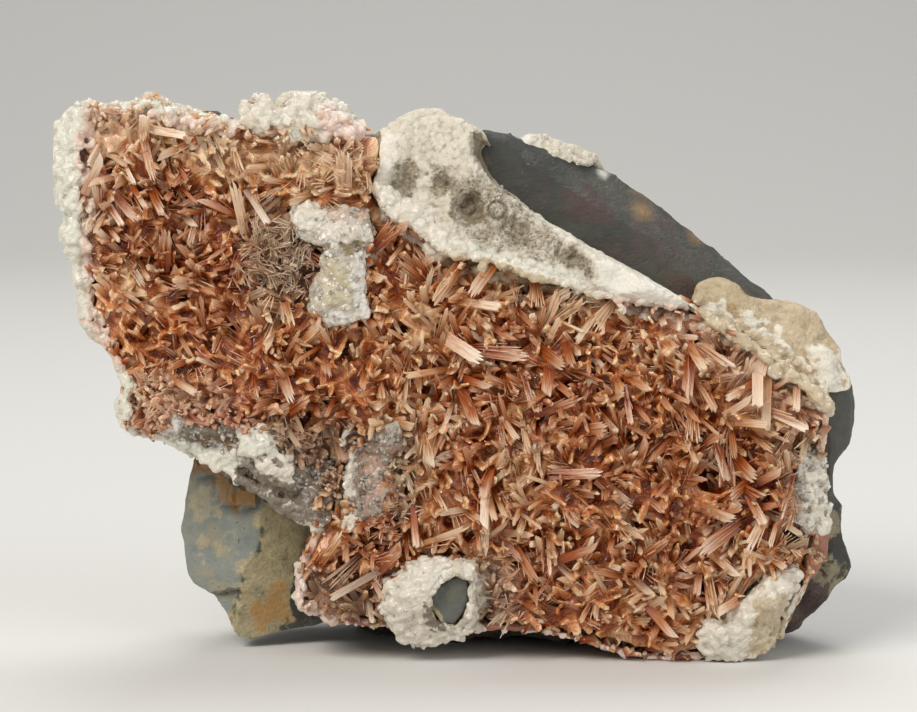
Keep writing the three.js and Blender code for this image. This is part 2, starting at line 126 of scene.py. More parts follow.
def paleSweep():
    deep = sweep["back"] - sweep["front"]
    bpy.ops.object.select_all(action="DESELECT")
    bpy.ops.mesh.primitive_plane_add(size=1, location=(0, sweep["front"] + deep / 2, 0))
    card = bpy.context.object
    card.name = "floor"
    card.scale = (sweep["width"], deep, 1)
    bpy.ops.object.transform_apply(location=True, rotation=False, scale=True)
    selectWhere(card, lambda co: co.y > sweep["back"] - 0.01)
    bpy.ops.mesh.extrude_region_move(TRANSFORM_OT_translate={"value": (0, 0, sweep["height"])})
    bpy.ops.object.mode_set(mode="OBJECT")
    bend = card.modifiers.new("bend", "BEVEL")
    bend.width = sweep["bend"]
    bend.segments = 24
    applyAll(card)
    bpy.ops.object.shade_smooth()
    return card


def pick(piece, chosen):
    # leaves edit mode on with the chosen vertices selected
    bpy.ops.object.mode_set(mode="EDIT")
    bpy.ops.mesh.select_mode(type="VERT")
    bpy.ops.mesh.select_all(action="DESELECT")
    bpy.ops.object.mode_set(mode="OBJECT")
    piece.data.vertices.foreach_set("select", chosen)
    bpy.ops.object.mode_set(mode="EDIT")


def selectWhere(piece, test):
    bpy.ops.object.mode_set(mode="OBJECT")
    pick(piece, [test(vertex.co) for vertex in piece.data.vertices])


floor = paleSweep()
print("stage ready")


# materials


def colour(hexCode, alpha=1.0):
    channels = [int(hexCode[i : i + 2], 16) / 255 for i in (1, 3, 5)]
    linear = [c / 12.92 if c <= 0.04045 else ((c + 0.055) / 1.055) ** 2.4 for c in channels]
    return (*linear, alpha)


def addNode(tree, kind, inputs=None, stops=None, **settings):
    made = tree.nodes.new(kind)
    for key, value in settings.items():
        setattr(made, key, value)
    for key, value in (inputs or {}).items():
        if isinstance(value, bpy.types.NodeSocket):
            tree.links.new(value, made.inputs[key])
        else:
            made.inputs[key].default_value = value
    for i, (position, tone) in enumerate(stops or []):
        elements = made.color_ramp.elements
        element = elements[i] if i < 2 else elements.new(position)
        element.position = position
        element.color = colour(tone)
    return made


def newMaterial(name, **values):
    material = bpy.data.materials.new(name)
    material.use_nodes = True
    shader = material.node_tree.nodes["Principled BSDF"]
    for key, value in values.items():
        shader.inputs[key.replace("_", " ")].default_value = value
    return material, material.node_tree, shader


def attributeOf(tree, name):
    return addNode(tree, "ShaderNodeAttribute", attribute_name=name).outputs["Fac"]


def worked(tree, operation, *values):
    return addNode(tree, "ShaderNodeMath", dict(enumerate(values)), operation=operation).outputs[0]


def ranged(tree, value, low, high, start=0.0, end=1.0):
    settings = {"Value": value, "From Min": low, "From Max": high, "To Min": start, "To Max": end}
    return addNode(tree, "ShaderNodeMapRange", settings, clamp=True).outputs["Result"]


def patches(tree, place, size, low, high, detail=3.0, rough=0.55, warp=0.0):
    # natural patches of the given size in mm: 0 where the pattern is below low, 1 above high
    settings = {"Vector": place, "Scale": 1 / (size * mm), "Detail": detail, "Roughness": rough,
                "Distortion": warp}
    return ranged(tree, addNode(tree, "ShaderNodeTexNoise", settings).outputs["Fac"], low, high)


def ragged(tree, weight, pattern, wobble=1.2):
    # a zone's soft weight turned into a zone with an irregular edge
    shifted = worked(tree, "MULTIPLY_ADD", worked(tree, "SUBTRACT", pattern, 0.5), wobble, weight)
    return worked(tree, "MULTIPLY", ranged(tree, shifted, 0.35, 0.65), ranged(tree, weight, 0.0, 0.2))


def blended(tree, amount, under, over, share=1.0):
    made = addNode(tree, "ShaderNodeMix", data_type="RGBA")
    scaled = worked(tree, "MULTIPLY", amount, share) if share != 1.0 else amount
    for socket, value in zip((made.inputs[0], made.inputs[6], made.inputs[7]), (scaled, under, over)):
        if isinstance(value, bpy.types.NodeSocket):
            tree.links.new(value, socket)
        else:
            socket.default_value = colour(value)
    return made.outputs[2]


def bumped(tree, height, depth, below=None):
    inputs = {"Height": height, "Distance": depth * mm}
    if below is not None:
        inputs["Normal"] = below
    return addNode(tree, "ShaderNodeBump", inputs).outputs["Normal"]


def glowing(tree, shader, tint, share):
    # lets part of the light through, so that crystals lit from behind glow in their own colour
    through = addNode(tree, "ShaderNodeBsdfTranslucent", {"Color": tint}).outputs["BSDF"]
    both = addNode(tree, "ShaderNodeMixShader",
                   {0: share, 1: shader.outputs["BSDF"], 2: through}).outputs["Shader"]
    tree.links.new(both, tree.nodes["Material Output"].inputs["Surface"])


def wired(tree, shader, **sockets):
    for name, socket in sockets.items():
        tree.links.new(socket, shader.inputs[name.replace("_", " ")])


def milky(shader, share, radius, depth):
    # light wanders under the surface, in mm, and its red goes deepest
    shader.inputs["Subsurface Weight"].default_value = share
    shader.inputs["Subsurface Radius"].default_value = radius
    shader.inputs["Subsurface Scale"].default_value = depth * mm


def placeOf(tree):
    return addNode(tree, "ShaderNodeTexCoord").outputs["Object"]


def added(tree, *parts):
    # sum of (value, factor) pairs, begun with a bare value
    total = parts[0]
    for value, factor in parts[1:]:
        total = worked(tree, "MULTIPLY_ADD", value, factor, total)
    return total


def tinted(tree, body, pattern, *layers):
    # lays a piece's zones over one another: attribute, wobble of its edge, colour and share
    for name, wobble, tone, share in layers:
        body = blended(tree, ragged(tree, attributeOf(tree, name), pattern, wobble), body, tone, share)
    return body


# painted shade: darkens the body towards a tone in the hollows
def paintShadeInHollows(tree, body, low, high, tone, share):
    return blended(tree, ranged(tree, attributeOf(tree, "hollow"), low, high), body, tone, share)


def inesiteMaterial():
    # Inesite, a manganese silicate, as glassy laths: iron-red and clear at the root, darkened there as
    # painted shade, pale at the tip with painted silky highlights
    material, tree, shader = newMaterial("inesiteBlades", IOR=1.62, Coat_Weight=0.4, Coat_Roughness=0.1)
    along, tone, pale = [attributeOf(tree, name) for name in ("along", "tone", "pale")]
    fibres = addNode(tree, "ShaderNodeUVMap", uv_map="grain").outputs["UV"]  # mm across and along a blade
    stretched = addNode(tree, "ShaderNodeMapping",
                        {"Vector": fibres, "Scale": (7.0, 0.35, 1.0)}).outputs["Vector"]
    grain = {"Vector": stretched, "Scale": 1.0, "Detail": 3.0, "Roughness": 0.6}  # 0.15 mm wide, 3 mm long
    streaks = addNode(tree, "ShaderNodeTexNoise", grain).outputs["Fac"]
    clouded = addNode(tree, "ShaderNodeMapping",
                      {"Vector": fibres, "Scale": (0.7, 0.7, 1.0)}).outputs["Vector"]
    clouds = addNode(tree, "ShaderNodeTexNoise",
                     {"Vector": clouded, "Scale": 1.0, "Detail": 2.0}).outputs["Fac"]
    # the level is deep at the root, painted shade where the blades crowd, and paler towards the tip, partly
    # the crystal's colour and partly painted highlight
    level = added(tree, tone, (along, 0.75), (streaks, 0.4), (clouds, 0.4), (pale, 0.3))
    level = worked(tree, "SUBTRACT", level, 0.5)
    salmon = [(0.0, "#963a0c"), (0.25, "#c06226"), (0.5, "#d89054"), (0.75, "#e8b884"), (1.0, "#f6ddba")]
    body = addNode(tree, "ShaderNodeValToRGB", {"Fac": level}, stops=salmon).outputs["Color"]
    seams = ranged(tree, streaks, 0.36, 0.46, 1.0, 0.0)  # dull lines between two fibres
    body = blended(tree, seams, body, "#b0683a", 0.35)
    body = blended(tree, attributeOf(tree, "lilac"), body, "#ecc8b6", 0.46)
    body = blended(tree, attributeOf(tree, "ashen"), body, "#c8b9a2", 0.75)
    # painted highlight: pale silky streaks towards the tips, stronger on pale blades
    paintedSilkHighlight = ranged(tree, worked(tree, "MULTIPLY_ADD", streaks, 1.2, along), 1.1, 1.6)
    body = blended(tree, worked(tree, "MULTIPLY", paintedSilkHighlight, worked(tree, "ADD", pale, 0.25)), body, "#fbf0de")
    gloss = ranged(tree, streaks, 0.2, 0.8, 0.15, 0.4)
    wired(tree, shader, Base_Color=body, Normal=bumped(tree, streaks, 0.06), Roughness=gloss)
    glowing(tree, shader, body, 0.48)
    return material


def massMaterial():
    # Massive inesite between the blades: crystals grown into one another, wet-looking, iron-red light inside
    material, tree, shader = newMaterial("inesiteMass", IOR=1.62, Coat_Weight=0.4, Coat_Roughness=0.15)
    place = placeOf(tree)
    clouds = patches(tree, place, 2.5, 0.38, 0.62)
    # bundles 1.5 mm across, each with fibres of its own heading
    bundles = addNode(tree, "ShaderNodeTexVoronoi",
                      {"Vector": place, "Scale": 1 / (1.5 * mm)}).outputs["Color"]
    heading = addNode(tree, "ShaderNodeVectorMath", {0: bundles, 1: (0.5, 0.5, 0.5)},
                      operation="SUBTRACT").outputs[0]
    heading = addNode(tree, "ShaderNodeVectorMath", {0: heading}, operation="NORMALIZE").outputs[0]
    across = addNode(tree, "ShaderNodeVectorMath", {0: place, 1: heading},
                     operation="DOT_PRODUCT").outputs["Value"]
    fibres = addNode(tree, "ShaderNodeTexNoise", {"W": across, "Scale": 1 / (0.3 * mm), "Detail": 2.0},
                     noise_dimensions="1D").outputs["Fac"]
    fibres = ranged(tree, fibres, 0.35, 0.65)
    hollow = attributeOf(tree, "hollow")
    # painted light and shade: the level rises on the crests and falls in the hollows between the blades
    level = added(tree, attributeOf(tree, "tone"), (hollow, -1.3), (fibres, 0.3), (clouds, 0.25))
    level = worked(tree, "ADD", level, 0.85)
    rust = [(0.0, "#722404"), (0.25, "#a04c1a"), (0.5, "#c0783e"), (0.75, "#d8a06c"), (1.0, "#f0cea8")]
    body = addNode(tree, "ShaderNodeValToRGB", {"Fac": level}, stops=rust).outputs["Color"]
    body = blended(tree, attributeOf(tree, "lilac"), body, "#e8bfa8", 0.42)
    body = blended(tree, attributeOf(tree, "ashen"), body, "#a38c76", 0.6)
    gloss = ranged(tree, fibres, 0.0, 1.0, 0.45, 0.2)
    wired(tree, shader, Base_Color=body, Normal=bumped(tree, fibres, 0.15), Roughness=gloss)
    milky(shader, 1.0, (1.0, 0.5, 0.25), 0.7)
    return material


def calciteMaterial():
    # Calcite, massive and sugary: chalky cream, clay and iron stain in patches, painted shade in its pits, a
    # little light passing through
    material, tree, shader = newMaterial("sugaryCalcite", Roughness=0.62, IOR=1.6)
    place = placeOf(tree)
    sugar = patches(tree, place, 0.45, 0.3, 0.7)  # grains of about half a millimetre
    clouds = patches(tree, place, 4.0, 0.38, 0.62)
    mottle = patches(tree, place, 1.5, 0.3, 0.7, detail=5.0)
    specks = patches(tree, place, 0.35, 0.46, 0.62, detail=5.0, rough=0.7)
    # deep marks the pits, which are darkened below as painted shade
    deep = ranged(tree, attributeOf(tree, "hollow"), 0.5, 0.95)
    soiled = ragged(tree, attributeOf(tree, "soiled"), mottle, 0.9)
    body = blended(tree, clouds, "#cdc3b0", "#dad2c1")
    body = blended(tree, sugar, body, "#aea48e", 0.35)
    body = tinted(tree, body, mottle, ("green", 1.2, "#d2d1c4", 0.7), ("tan", 1.2, "#a8946f", 0.8),
                  ("pinkish", 0.8, "#dcb8a2", 0.8), ("olive", 0.9, "#83765a", 0.7))
    # painted shade in the pits
    body = blended(tree, deep, body, "#84755a", 0.6)
    body = blended(tree, worked(tree, "MULTIPLY", soiled, mottle), body, "#8a7a5c", 0.75)
    # clay specks in the soiled patches, with the pits there darkened further as painted shade
    body = blended(tree, worked(tree, "MULTIPLY", soiled, worked(tree, "MAXIMUM", specks, deep)), body,
                   "#4a3e2a", 0.8)
    body = tinted(tree, body, mottle, ("clean", 1.0, "#e2dccf", 0.8), ("umber", 0.8, "#55412f", 0.9),
                  ("russet", 0.8, "#8f543a", 0.9))
    body = blended(tree, attributeOf(tree, "crack"), body, "#3a3122", 0.8)
    wired(tree, shader, Base_Color=body, Normal=bumped(tree, sugar, 0.1, below=bumped(tree, mottle, 0.15)))
    milky(shader, 0.15, (1.0, 0.9, 0.75), 0.8)
    return material


def quartzMaterial():
    # Drusy quartz: milky and smoky lumps with glittering facets of 0.6 mm, and warm stain here and there
    material, tree, shader = newMaterial("milkyQuartz", IOR=1.544)
    place = placeOf(tree)
    clouds = patches(tree, place, 2.0, 0.36, 0.64, detail=5.0)
    grains = addNode(tree, "ShaderNodeTexVoronoi", {"Vector": place, "Scale": 1 / (0.6 * mm)})
    body = blended(tree, clouds, "#c4bbab", "#a79d8e")
    body = tinted(tree, body, clouds, ("smoky", 1.2, "#5f5140", 0.85))
    uneven = ranged(tree, clouds, 0.0, 1.0, 0.35, 1.0)
    body = blended(tree, worked(tree, "MULTIPLY", attributeOf(tree, "pinkish"), uneven), body, "#cba792",
                   0.75)
    body = blended(tree, worked(tree, "MULTIPLY", attributeOf(tree, "ochre"), uneven), body, "#c3b48c", 0.7)
    body = tinted(tree, body, clouds, ("rust", 1.2, "#7d5c34", 0.85), ("clean", 1.2, "#d9d4ca", 0.85),
                  ("olive", 1.2, "#7a6a40", 0.85))
    # painted shade in the hollows of the quartz
    body = paintShadeInHollows(tree, body, 0.6, 1.1, "#6d5c48", 0.5)
    glint = addNode(tree, "ShaderNodeSeparateColor", {"Color": grains.outputs["Color"]}).outputs["Red"]
    facets = bumped(tree, grains.outputs["Distance"], 0.12)
    wired(tree, shader, Base_Color=body, Normal=facets, Roughness=ranged(tree, glint, 0.0, 1.0, 0.08, 0.5))
    milky(shader, 0.3, (1.0, 0.92, 0.8), 1.0)
    return material


def crystalMaterial():
    # Small quartz points: glassy faces over a milky body that lets light through
    material, tree, shader = newMaterial("quartzPoints", Roughness=0.07, IOR=1.544,
                                         Transmission_Weight=0.25)
    body = blended(tree, attributeOf(tree, "tone"), "#e6e1d8", "#b9ae9f")
    wired(tree, shader, Base_Color=body)
    glowing(tree, shader, body, 0.3)
    return material


def grainMaterial():
    # Calcite grains on the rims: small milky rhombs and knobs, glassy where a face catches the light
    material, tree, shader = newMaterial("calciteGrains", IOR=1.6, Coat_Weight=0.3, Coat_Roughness=0.1)
    clouds = patches(tree, placeOf(tree), 0.8, 0.3, 0.7, detail=4.0)
    body = blended(tree, attributeOf(tree, "tone"), "#d6cebe", "#e9e5da")
    body = tinted(tree, body, clouds, ("green", 1.2, "#d6d5c6", 0.8), ("tan", 1.2, "#b8a37e", 0.8),
                  ("pinkish", 1.2, "#e2c6b8", 0.85), ("smoky", 1.2, "#55442f", 0.9))
    # painted shade in the hollows between the grains
    body = paintShadeInHollows(tree, body, 0.6, 1.0, "#8f7f68", 0.6)
    body = blended(tree, clouds, body, "#b3a792", 0.2)
    gloss = ranged(tree, clouds, 0.0, 1.0, 0.2, 0.55)
    wired(tree, shader, Base_Color=body, Normal=bumped(tree, clouds, 0.12), Roughness=gloss)
    milky(shader, 0.5, (1.0, 0.93, 0.85), 0.8)
    return material


def rockMaterial():
    # Manganese-bearing dark rock, broken: satin charcoal green, purple-brown blotches and ochre iron stain
    material, tree, shader = newMaterial("darkManganeseRock", IOR=1.55)
    place = placeOf(tree)
    wide = patches(tree, place, 8.0, 0.4, 0.6)
    blotches = patches(tree, place, 7.0, 0.5, 0.62, warp=0.6)
    mottle = patches(tree, place, 1.6, 0.3, 0.7, detail=5.0)
    grains = patches(tree, place, 0.35, 0.3, 0.7)
    ochreSpots = patches(tree, place, 3.0, 0.72, 0.75)
    skin = patches(tree, place, 12.0, 0.56, 0.64, detail=8.0, rough=0.65)
    body = blended(tree, wide, "#31312a", "#434338")
    for pattern, tone, share in ((blotches, "#4a3630", 0.6), (mottle, "#292822", 0.3),
                                 (ochreSpots, "#9a7b4c", 0.8),
                                 (skin, "#6a5c42", 0.6)):
        body = blended(tree, pattern, body, tone, share)
    body = tinted(tree, body, mottle, ("slate", 1.2, "#4c4c43", 0.8), ("purple", 0.8, "#452b26", 0.6))
    body = blended(tree, attributeOf(tree, "spotted"), body, "#a8834f", 0.8)
    # painted highlight: a small pale spot where a glint falls on the rock
    body = blended(tree, attributeOf(tree, "glint"), body, "#e0dccf")
    blue = blended(tree, mottle, "#6d736d", "#86877c")
    blue = blended(tree, patches(tree, place, 4.0, 0.54, 0.66, detail=4.0), blue, "#8f8468", 0.6)
    blue = blended(tree, patches(tree, place, 0.8, 0.68, 0.71), blue, "#3f4038", 0.8)
    body = blended(tree, ranged(tree, attributeOf(tree, "bluish"), 0.35, 0.65), body, blue)
    # ochre iron stain, its colour lifted as painted light for the foot's facet, which faces down and away
    # from the lamps
    stainAndPaintedLight = blended(tree, mottle, "#948a6a", "#b8aa84")
    stainAndPaintedLight = blended(tree, grains, stainAndPaintedLight, "#6b5e42", 0.45)
    rust = blended(tree, mottle, "#6e4c28", "#96713f")
    body = tinted(tree, body, mottle, ("ochre", 1.0, stainAndPaintedLight, 1.0), ("stain", 1.8, stainAndPaintedLight, 0.6),
                  ("orange", 1.2, "#a87b3c", 0.75), ("rusty", 0.8, rust, 1.0))
    # painted shade in the rock's hollows and cracks
    body = paintShadeInHollows(tree, body, 0.55, 1.0, "#26211a", 0.6)
    satin = ranged(tree, mottle, 0.0, 1.0, 0.55, 0.75)
    grit = bumped(tree, grains, 0.05, below=bumped(tree, mottle, 0.1))
    wired(tree, shader, Base_Color=body, Normal=grit, Roughness=satin)
    return material


def tanMaterial():
    # Iron-stained crust: clay-fine calcite, beige, with ochre pockets and a white rough strip
    material, tree, shader = newMaterial("ironStainedCrust", Roughness=0.75, IOR=1.58)
    place = placeOf(tree)
    clouds = patches(tree, place, 2.5, 0.36, 0.64, detail=5.0)
    grains = patches(tree, place, 0.5, 0.3, 0.7)
    body = blended(tree, clouds, "#b59f80", "#cfbc9d")
    body = blended(tree, grains, body, "#8f7d5c", 0.35)
    body = tinted(tree, body, clouds, ("green", 1.2, "#a89672", 0.5), ("ochre", 1.2, "#a37a3f", 0.7),
                  ("clean", 1.2, "#dfd8c8", 0.9))
    # painted shade in the hollows of the crust
    body = paintShadeInHollows(tree, body, 0.5, 0.95, "#6d5a3b", 0.7)
    wired(tree, shader, Base_Color=body,
          Normal=bumped(tree, grains, 0.08, below=bumped(tree, clouds, 0.25)))
    return material


def cardMaterial():
    # Matt card: a plain pale sweep with the faintest tooth
    material, tree, shader = newMaterial("paleCard", Roughness=0.8)
    tooth = patches(tree, placeOf(tree), 1.0, 0.3, 0.7)
    wired(tree, shader, Base_Color=blended(tree, tooth, "#d9d7d2", "#d2d0cb", 0.2))
    return material


floor.data.materials.append(cardMaterial())
print("materials ready")

# places and shaping


def seen(points):
    # where drawn points lie on the front view, in millimetres right of and above its middle
    x, y, z = points[:, 0] - 0.5, points[:, 1], points[:, 2] - 36.1
    tilt = camera["elevation"]
    nearness = 1 + (y * math.cos(tilt) - z * math.sin(tilt)) * mm / camera["distance"]
    return np.stack([x / nearness, (z * math.cos(tilt) + y * math.sin(tilt)) / nearness], 1)


def sighted(tree, u, v):
    # the point of a surface that lies at a place of the front view
    upward = view.matrix_world.to_quaternion() @ Vector((0, 1, 0))
    aim = camera["aim"] + Vector((u, 0, 0)) * mm + upward * v * mm
    return tree.ray_cast(view.location, (aim - view.location).normalized())[0]


def inside(places, outline, edge=0.5):
    # 1 in an outline on the front view and 0 outside it, over an edge of the given width
    corners = np.array(outline, float)
    within = np.zeros(len(places), bool)
    nearest = np.full(len(places), 1e9)
    for start, end in zip(corners, np.roll(corners, -1, 0)):
        along = end - start
        share = np.clip(((places - start) @ along) / (along @ along), 0, 1)
        nearest = np.minimum(nearest, np.linalg.norm(places - start - share[:, None] * along, axis=1))
        crosses = (start[1] > places[:, 1]) != (end[1] > places[:, 1])
        edgeU = start[0] + (places[:, 1] - start[1]) * along[0] / (along[1] or 1e-9)
        within ^= crosses & (places[:, 0] < edgeU)
    return np.clip(0.5 + np.where(within, nearest, -nearest) / edge, 0, 1)


def zone(places, outlines, edge=0.5):
    return np.max([inside(places, outline, edge) for outline in outlines], axis=0)


def spots(places, rounds):
    # 1 at the middle of a round spot, (right, up, radius), falling to 0 at its edge
    reach = [np.linalg.norm(places - (u, v), axis=1) / radius for u, v, radius in rounds]
    return np.clip(1.6 - 1.6 * np.min(reach, axis=0), 0, 1)


def freeCopy(node, name):
    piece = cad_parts[node].copy()
    piece.data = piece.data.copy()
    piece.parent = None
    piece.name = piece.data.name = name
    for key in list(piece.keys()):
        del piece[key]
    piece.data.materials.clear()
    bpy.context.scene.collection.objects.link(piece)
    only(piece)
    bpy.ops.object.mode_set(mode="EDIT")
    bpy.ops.mesh.select_all(action="SELECT")
    bpy.ops.mesh.remove_doubles(threshold=0.02 * mm)
    bpy.ops.object.mode_set(mode="OBJECT")
    return piece


def drawn(piece):
    return (coordinates(piece.data) - (drawnX, drawnY, 0)) / mm


def redraw(piece, points):
    piece.data.vertices.foreach_set("co", (points * mm + (drawnX, drawnY, 0)).ravel())
    piece.data.update()


def facing(piece):
    # 1 where a surface faces the front, 0 on its back
    normals = np.empty(len(piece.data.vertices) * 3, np.float32)
    piece.data.vertex_normals.foreach_get("vector", normals)
    return np.clip(0.6 - 2 * normals[1::3], 0, 1)


def remesh(piece, grain, rounds=0):
    modifier = piece.modifiers.new("grain", "REMESH")
    modifier.mode = "VOXEL"
    modifier.voxel_size = grain * mm
    if rounds:
        soften = piece.modifiers.new("soften", "SMOOTH")
        soften.iterations = rounds
    applyAll(piece)


def refine(piece, weight):
    # halves the mesh where the weight is high, for finer relief
    only(piece)
    pick(piece, weight > 0.5)
    bpy.ops.mesh.subdivide(number_cuts=1, smoothness=0.4)
    bpy.ops.object.mode_set(mode="OBJECT")


def roughen(piece, kind, size, height, weight=None, middle=0.5, detail=0):
    # relief of a given size and height in mm: CLOUDS is lumpy, VORONOI is rounded cells that meet in creases
    pattern = bpy.data.textures.new(piece.name + kind.title(), kind)
    pattern.noise_scale = size * mm
    if kind == "VORONOI":
        pattern.distance_metric = "DISTANCE_SQUARED"
    if detail:
        pattern.noise_depth = detail
    modifier = piece.modifiers.new("rough", "DISPLACE")
    modifier.texture = pattern
    modifier.texture_coords = "LOCAL"
    modifier.strength = height * mm
    modifier.mid_level = middle
    if weight is not None:
        modifier.vertex_group = weigh(piece, weight)
    applyAll(piece)


def faceArrays(mesh):
    # middle, normal and area of every face
    count = len(mesh.polygons)
    middles, normals, areas = np.empty(count * 3), np.empty(count * 3), np.empty(count)
    for name, values in (("center", middles), ("normal", normals), ("area", areas)):
        mesh.polygons.foreach_get(name, values)
    return middles.reshape(-1, 3), normals.reshape(-1, 3), areas


def threeDraws(draw, *limits):
    return Vector([draw(*limits) for _ in range(3)])


def weigh(piece, weights):
    group = piece.vertex_groups.new(name="part%d" % len(piece.vertex_groups))
    levels = np.round(np.clip(weights, 0, 1) * 20).astype(int)
    for level in range(1, 21):
        members = np.nonzero(levels == level)[0].tolist()
        if members:
            group.add(members, level / 20, "REPLACE")
    return group.name


def pressed(piece, moves, edge=0.5):
    # moves parts of the front back (or, below zero, forward) by so many millimetres: (outline, depth)
    points = drawn(piece)
    places, front = seen(points), facing(piece)
    for outline, depth in moves:
        points[:, 1] += depth * inside(places, outline, edge) * front
    redraw(piece, points)


def store(piece, name, values):
    attribute = piece.data.attributes.get(name) or piece.data.attributes.new(name, "FLOAT", "POINT")
    attribute.data.foreach_set("value", np.clip(values, 0, 1).astype(np.float32))


def storeZones(piece, outlines, edge=0.6):
    # one attribute for each named list of outlines, on the front alone
    places, front = seen(drawn(piece)), facing(piece)
    for name, shapes in outlines.items():
        store(piece, name, zone(places, shapes, edge) * front)


def markHollows(piece, rounds, depth):
    # how far each point lies below its smoothed surroundings: 0 on crests, 0.5 on flats, 1 in hollows
    mesh = piece.data
    count = len(mesh.vertices)
    ends = np.empty(len(mesh.edges) * 2, np.int32)
    mesh.edges.foreach_get("vertices", ends)
    first, second = ends.reshape(-1, 2).T
    links = np.bincount(first, minlength=count) + np.bincount(second, minlength=count)
    start = coordinates(mesh)
    smooth = start
    for _ in range(rounds):
        sums = [np.bincount(first, smooth[second, k], count) + np.bincount(second, smooth[first, k], count)
                for k in range(3)]
        smooth = np.stack(sums, 1) / np.maximum(links, 1)[:, None]
    normals = np.empty(count * 3, np.float32)
    mesh.vertex_normals.foreach_get("vector", normals)
    below = ((smooth - start) * normals.reshape(-1, 3)).sum(1)
    store(piece, "hollow", 0.5 + 0.5 * below / (depth * mm))


def keepInside(piece):
    # the finished surface stays in the box of the solids and off the floor
    piece.data.vertices.foreach_set("co", np.clip(coordinates(piece.data), *cadBox).ravel())
    piece.data.update()


def finishPiece(piece, material, slotName, *nodes):
    piece.vertex_groups.clear()
    piece.data.materials.append(material)
    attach(piece, "root")
    if nodes:
        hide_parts(*nodes)
    triangles = sum(len(face.vertices) - 2 for face in piece.data.polygons)
    print("%s: %d triangles" % (piece.name, triangles))
    return piece


# matrix rock

rockSettings = dict(
    chip=1.0,  # mm between points while the facets are broken out
    facets=0.16,  # share of faces that the breaking leaves
    grain=0.55,
    lumps=[(9.0, 2.2), (3.5, 1.1)],  # size and height of the relief that the facets are cut from
    shells=[(7.5, 2.2), (3.2, 0.6)],  # size and height of the shell-like breaks
    grit=(1.3, 0.35),
    footDepth=11.7,  # depth of the crease, and how each face falls away from it, left and right
    footFall=(-0.33, 0.3),
    slabDepth=0.9,
    crisp=("bluish", "slate", "glint"),  # zones with an edge 0.9 mm wide; the rest fade over 2.2
    smooth=[[(1.3, 26.8), (7, 26.6), (16.1, 24), (22.9, 18.9), (29.7, 13.2), (37.7, 6.4), (34.3, 3),
             (26.3, 4.5), (16.1, 9.8), (2.4, 18.9)],
            [(38.8, -1), (46.3, -1.8), (46.3, -16.4), (38.8, -16.4)]],  # outlines of unbroken faces
    foot=[(-33, -10.9), (-16.2, -15.2), (-16.2, -32.8), (-33, -32.8)],
    crease=[(-26.3, -30.2), (-24.8, -26.4), (-24.7, -24.7), (-22.9, -21.9), (-22.4, -17.5)],  # upwards
    shoulder=[(4.5, 24.8, 3.5, 0.9), (9.3, 23.4, 4.0, 0.5)],  # right, up, radius and lift of the top edge
    # a slab has come away here
    slab=[(-30.5, -27.3), (-29, -27), (-24.8, -26.4), (-25.7, -32.3), (-30.5, -32.3)],
    rust=[([(-29.9, -11.8), (-26.8, -11.8), (-26.8, -13.4), (-29.8, -13.4)], -0.8),
          ([(-27.6, -12), (-25.9, -12), (-25.4, -16.7), (-26.8, -16.9), (-27.4, -15)], -0.6),
          ([(-25.7, -14.5), (-22.7, -15), (-22.9, -17), (-24.8, -17.3), (-26, -16.2)], -1.1)],
)
rockColours = dict(
    bluish=[[(-32.8, -9.5), (-22.3, -13), (-22.1, -16.4), (-22.8, -21.9), (-24.6, -24.7), (-24.8, -26.4),
             (-26.3, -30.2), (-28.8, -28.3), (-32.8, -23.2)]],
    ochre=[[(-22.3, -16.7), (-16, -18.1), (-18.5, -23.7), (-19.7, -32.3), (-26.3, -32.8), (-26.3, -30.2),
            (-24.8, -26.4), (-24.6, -24.7), (-22.8, -21.9)]],
    stain=[[(-30.1, -15), (-28.2, -15.5), (-26.9, -18.2), (-28.7, -19.5), (-30.3, -18.2)],
           [(-29.1, -20.9), (-26.4, -20.2), (-26.6, -22.3), (-28.9, -23)],
           [(-24.8, -23.2), (-22.3, -21.5), (-22.3, -25.5), (-24.8, -27.7)],
           [(41.3, -16.4), (44.7, -17.3), (44.5, -20.5), (41.8, -19.8)],
           [(41.1, -23.4), (43.6, -23.4), (43.1, -26.4), (40.6, -26.4)]],
    orange=[[(-22.3, -27.3), (-19.8, -25.9), (-19.6, -29.8), (-22.3, -30.9), (-23.7, -29.5)]],
    rusty=[[(-31, -10.5), (-25.5, -10.9), (-25.5, -13.4), (-26.2, -15.5), (-22.3, -14.8), (-22.6, -17),
            (-25.1, -17.4), (-26.9, -16.4), (-27.6, -13.4), (-30.1, -13.5)]],
    slate=[[(40.9, -1.8), (46.3, -1.8), (46.3, -16.9), (41.8, -16.9), (42.2, -9.5)]],
    purple=[[(11.5, 18.9), (14.4, 19.3), (17.8, 17.4), (17.9, 15), (14.9, 15.2), (12.2, 16.6)],
            [(22.9, 9.8), (26.3, 9.1), (28.4, 7.5), (27.7, 5), (25.6, 6.4), (23.4, 7.3)],
            [(36.1, -25.5), (42.2, -23.2), (43.1, -27.7), (38.8, -34), (36.1, -33.4)]],
    spotted=[[(20.2, 17), (21.2, 16.9), (21.5, 16.2), (20.7, 16)],
             [(26.6, 14), (27.3, 13.7), (27.4, 13.3), (26.9, 13.4)],
             [(20.3, 19.3), (21.2, 18.9), (21.1, 18.6), (20.3, 19.1)]],
    # glint: a painted highlight
    glint=[[(16.1, 21.2), (16.9, 20.8), (16.6, 20.3), (16, 20.8)]],
)


